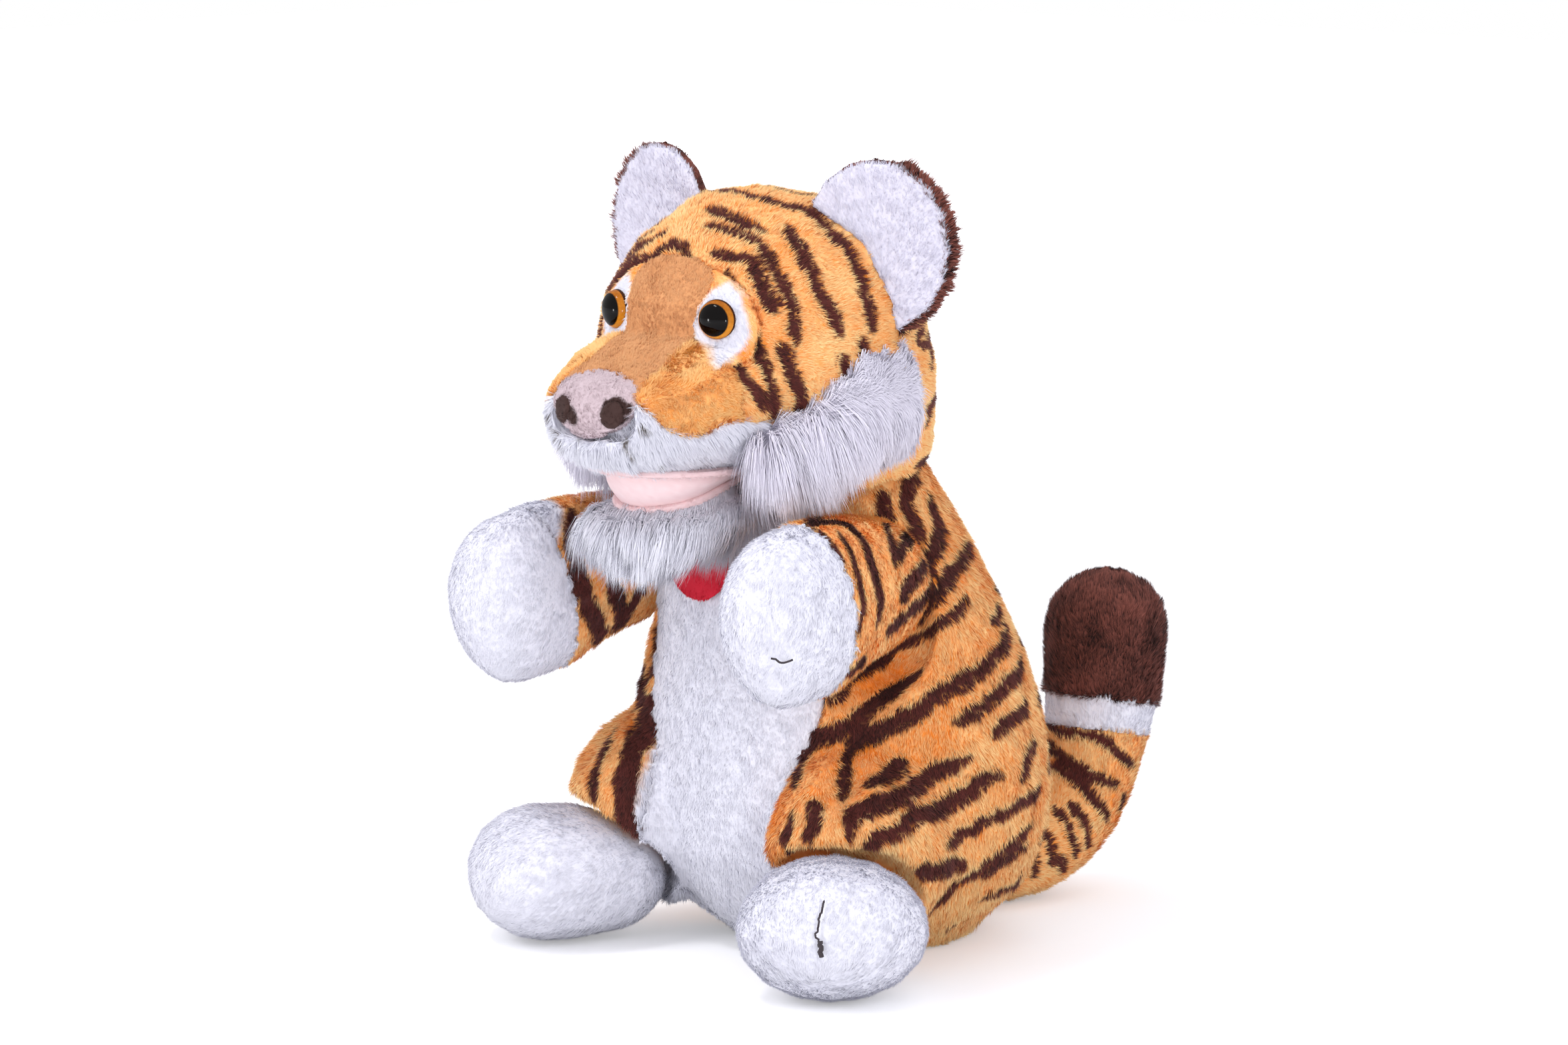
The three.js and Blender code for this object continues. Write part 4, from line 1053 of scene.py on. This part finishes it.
def mouth_fold():
    across, along = round_the_mouth(ROOF_EDGE).T
    top = np.column_stack([across, along, np.full(len(across), ROOF_EDGE["z"])])
    across, along = round_the_mouth(FLOOR_EDGE).T
    bottom = FLOOR_AT + FLOOR_ALONG * along[:, None] + across[:, None] * [1, 0, 0]
    out = unit((top + bottom) / 2 - MOUTH_MIDDLE)
    rows = []
    for row in range(FOLD_ROWS + 1):
        share = row / FOLD_ROWS
        wave = 0.12 * ripple(top * [1, 1, 0] + [0, 0, 9 * share], 9, 4)
        bulge = math.sin(math.pi * share) * (FOLD_BULGE + wave)
        rows.append(top + (bottom - top) * share + out * bulge[:, None])
    points, n = np.concatenate(rows), len(top)
    corners = [r * n + k for r in range(FOLD_ROWS) for k in range(n - 1)]
    faces = [(a + n, a + n + 1, a + 1, a) for a in corners]
    fold = new_piece("mouth_fold", points, faces, FINISHES["pink"])
    put_value(fold.data, "along", np.full(len(points), 0.75))
    put_value(fold.data, "shade", 1.5 * ripple(points, 2.5, 8))
    grid = points.reshape(FOLD_ROWS + 1, n, 3)
    wide = np.linalg.norm(np.diff(grid, axis=1), axis=2).sum(1).max()
    long = np.linalg.norm(np.diff(grid, axis=0), axis=2).sum(0).max()
    wide * MM
    long * MM
    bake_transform(fold)


mouth_fold()


def stitch(name, line, radius, above, base, body):
    """A thread that lies on a piece's pile."""
    tree = tree_of(base.data)
    run = smooth_line(line, 0.6)
    found = [tree.find_nearest(Vector(p * MM)) for p in run]
    up = np.array([normal for _, normal, _, _ in found])
    run = np.array([place for place, _, _, _ in found]) / MM + up * above
    way = unit(np.gradient(run, axis=0))
    side = unit(np.cross(way, up))
    sides = 8
    angle = (np.arange(sides) * 2 * math.pi / sides)[None, :, None]
    out = np.cross(side, way)
    rings = run[:, None] + radius * (np.cos(angle) * side[:, None] + np.sin(angle) * out[:, None])
    faces = [tuple(range(sides)), tuple(range((len(run) - 1) * sides, len(run) * sides))[::-1]]
    for r in range(len(run) - 1):
        for k in range(sides):
            a, b = r * sides + k, r * sides + (k + 1) % sides
            faces.append((a + sides, b + sides, b, a))
    made = new_piece(name, rings.reshape(-1, 3), faces, THREAD_FINISH)
    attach(made, body)


PAW, FOOT = bpy.data.objects["paw_plush_left"], bpy.data.objects["foot_plush_left"]
THREAD_RADIUS, KNOT_RADIUS, ON_THE_PILE = 0.35, 0.8, 1.6
stitch("paw_stitch", PAW_THREAD, THREAD_RADIUS, ON_THE_PILE, PAW, "arm_left")
stitch("foot_stitch", FOOT_THREAD, THREAD_RADIUS, ON_THE_PILE, FOOT, "foot_left")
stitch("foot_stitch_end", FOOT_THREAD_END, KNOT_RADIUS, ON_THE_PILE, FOOT, "foot_left")

# Light, floor and camera. The camera and reflections see white, and the pieces get a soft grey light.
SKY_GREY = (0.73, 0.73, 0.79, 1.0)
world = bpy.data.worlds.new("studio")
bpy.context.scene.world = world
world.use_nodes = True
background = world.node_tree.nodes["Background"]
rays = world.node_tree.nodes.new("ShaderNodeLightPath")
sky = world.node_tree.nodes.new("ShaderNodeMix")
sky.data_type = "RGBA"
either = world.node_tree.nodes.new("ShaderNodeMath")
any_of = world.node_tree.nodes.new("ShaderNodeMath")
any_of.use_clamp = True
world.node_tree.links.new(rays.outputs["Is Camera Ray"], either.inputs[0])
world.node_tree.links.new(rays.outputs["Is Glossy Ray"], either.inputs[1])
world.node_tree.links.new(either.outputs[0], any_of.inputs[0])
world.node_tree.links.new(rays.outputs["Is Transmission Ray"], any_of.inputs[1])
world.node_tree.links.new(any_of.outputs[0], sky.inputs[0])
sky.inputs[6].default_value = SKY_GREY
sky.inputs[7].default_value = (1.0, 1.0, 1.0, 1.0)
world.node_tree.links.new(sky.outputs[2], background.inputs["Color"])


def softbox(name, at, aim, size, power, mirrored_in_eyes=False):
    bpy.ops.object.light_add(type="AREA", location=at)
    lamp = bpy.context.object
    lamp.name = name
    lamp.data.shape, lamp.data.size, lamp.data.size_y = "RECTANGLE", size[0], size[1]
    lamp.data.energy = power
    lamp.visible_glossy = mirrored_in_eyes
    lamp.rotation_euler = (Vector(aim) - Vector(at)).to_track_quat("-Z", "Y").to_euler()


MIDDLE, EYES = (0, 0, 0.12), (0.02, -0.09, 0.21)
softbox("key_softbox", (-0.5, -1.5, 1.5), MIDDLE, (0.9, 0.9), 8)
softbox("fill_softbox", (1.6, -0.6, 0.9), MIDDLE, (1.0, 1.0), 7)
softbox("top_softbox", (0.2, 0.5, 1.8), (0, 0, 0.1), (1.0, 1.0), 3)
softbox("eye_light_top", (-0.19, -0.66, 1.36), EYES, (0.3, 0.14), 4, True)
softbox("eye_light_left", (-0.42, -1.2, 0.12), EYES, (0.14, 0.14), 2, True)
softbox("eye_light_right", (1.09, -0.61, 0.1), EYES, (0.14, 0.14), 2, True)

bpy.ops.mesh.primitive_plane_add(size=8)
floor = bpy.context.object
floor.name = "studio_floor"
paper = Finish("floor_paper", 0.9)
paper.set("Base Color", (0.9, 0.9, 0.91, 1))
seen = paper.node("ShaderNodeLightPath", {}, out=0)
glossy = paper.node("ShaderNodeLightPath", {}, out=3)
through = paper.node("ShaderNodeLightPath", {}, out=6)
away = paper.node("ShaderNodeVectorMath", {"operation": "LENGTH"}, paper.place(), out=1)
glow = ((away - 0.3) * 1.5).clamped() * 0.55 + 0.3
lit = (seen + glossy + through).clamped() * glow
paper.set("Emission Color", paper.mix(lit, (0, 0, 0, 1), (1, 1, 1, 1)))
paper.set("Emission Strength", 1.0)
floor.data.materials.append(paper.material)

bpy.ops.object.camera_add(location=CAMERA_AT)
camera = bpy.context.object
camera.data.sensor_width = 36
camera.data.lens = CAMERA_LENS
camera.rotation_euler = (Vector(CAMERA_AIM) - Vector(CAMERA_AT)).to_track_quat("-Z", "Y").to_euler()
bpy.context.scene.camera = camera
bpy.context.scene.view_settings.view_transform = "Standard"
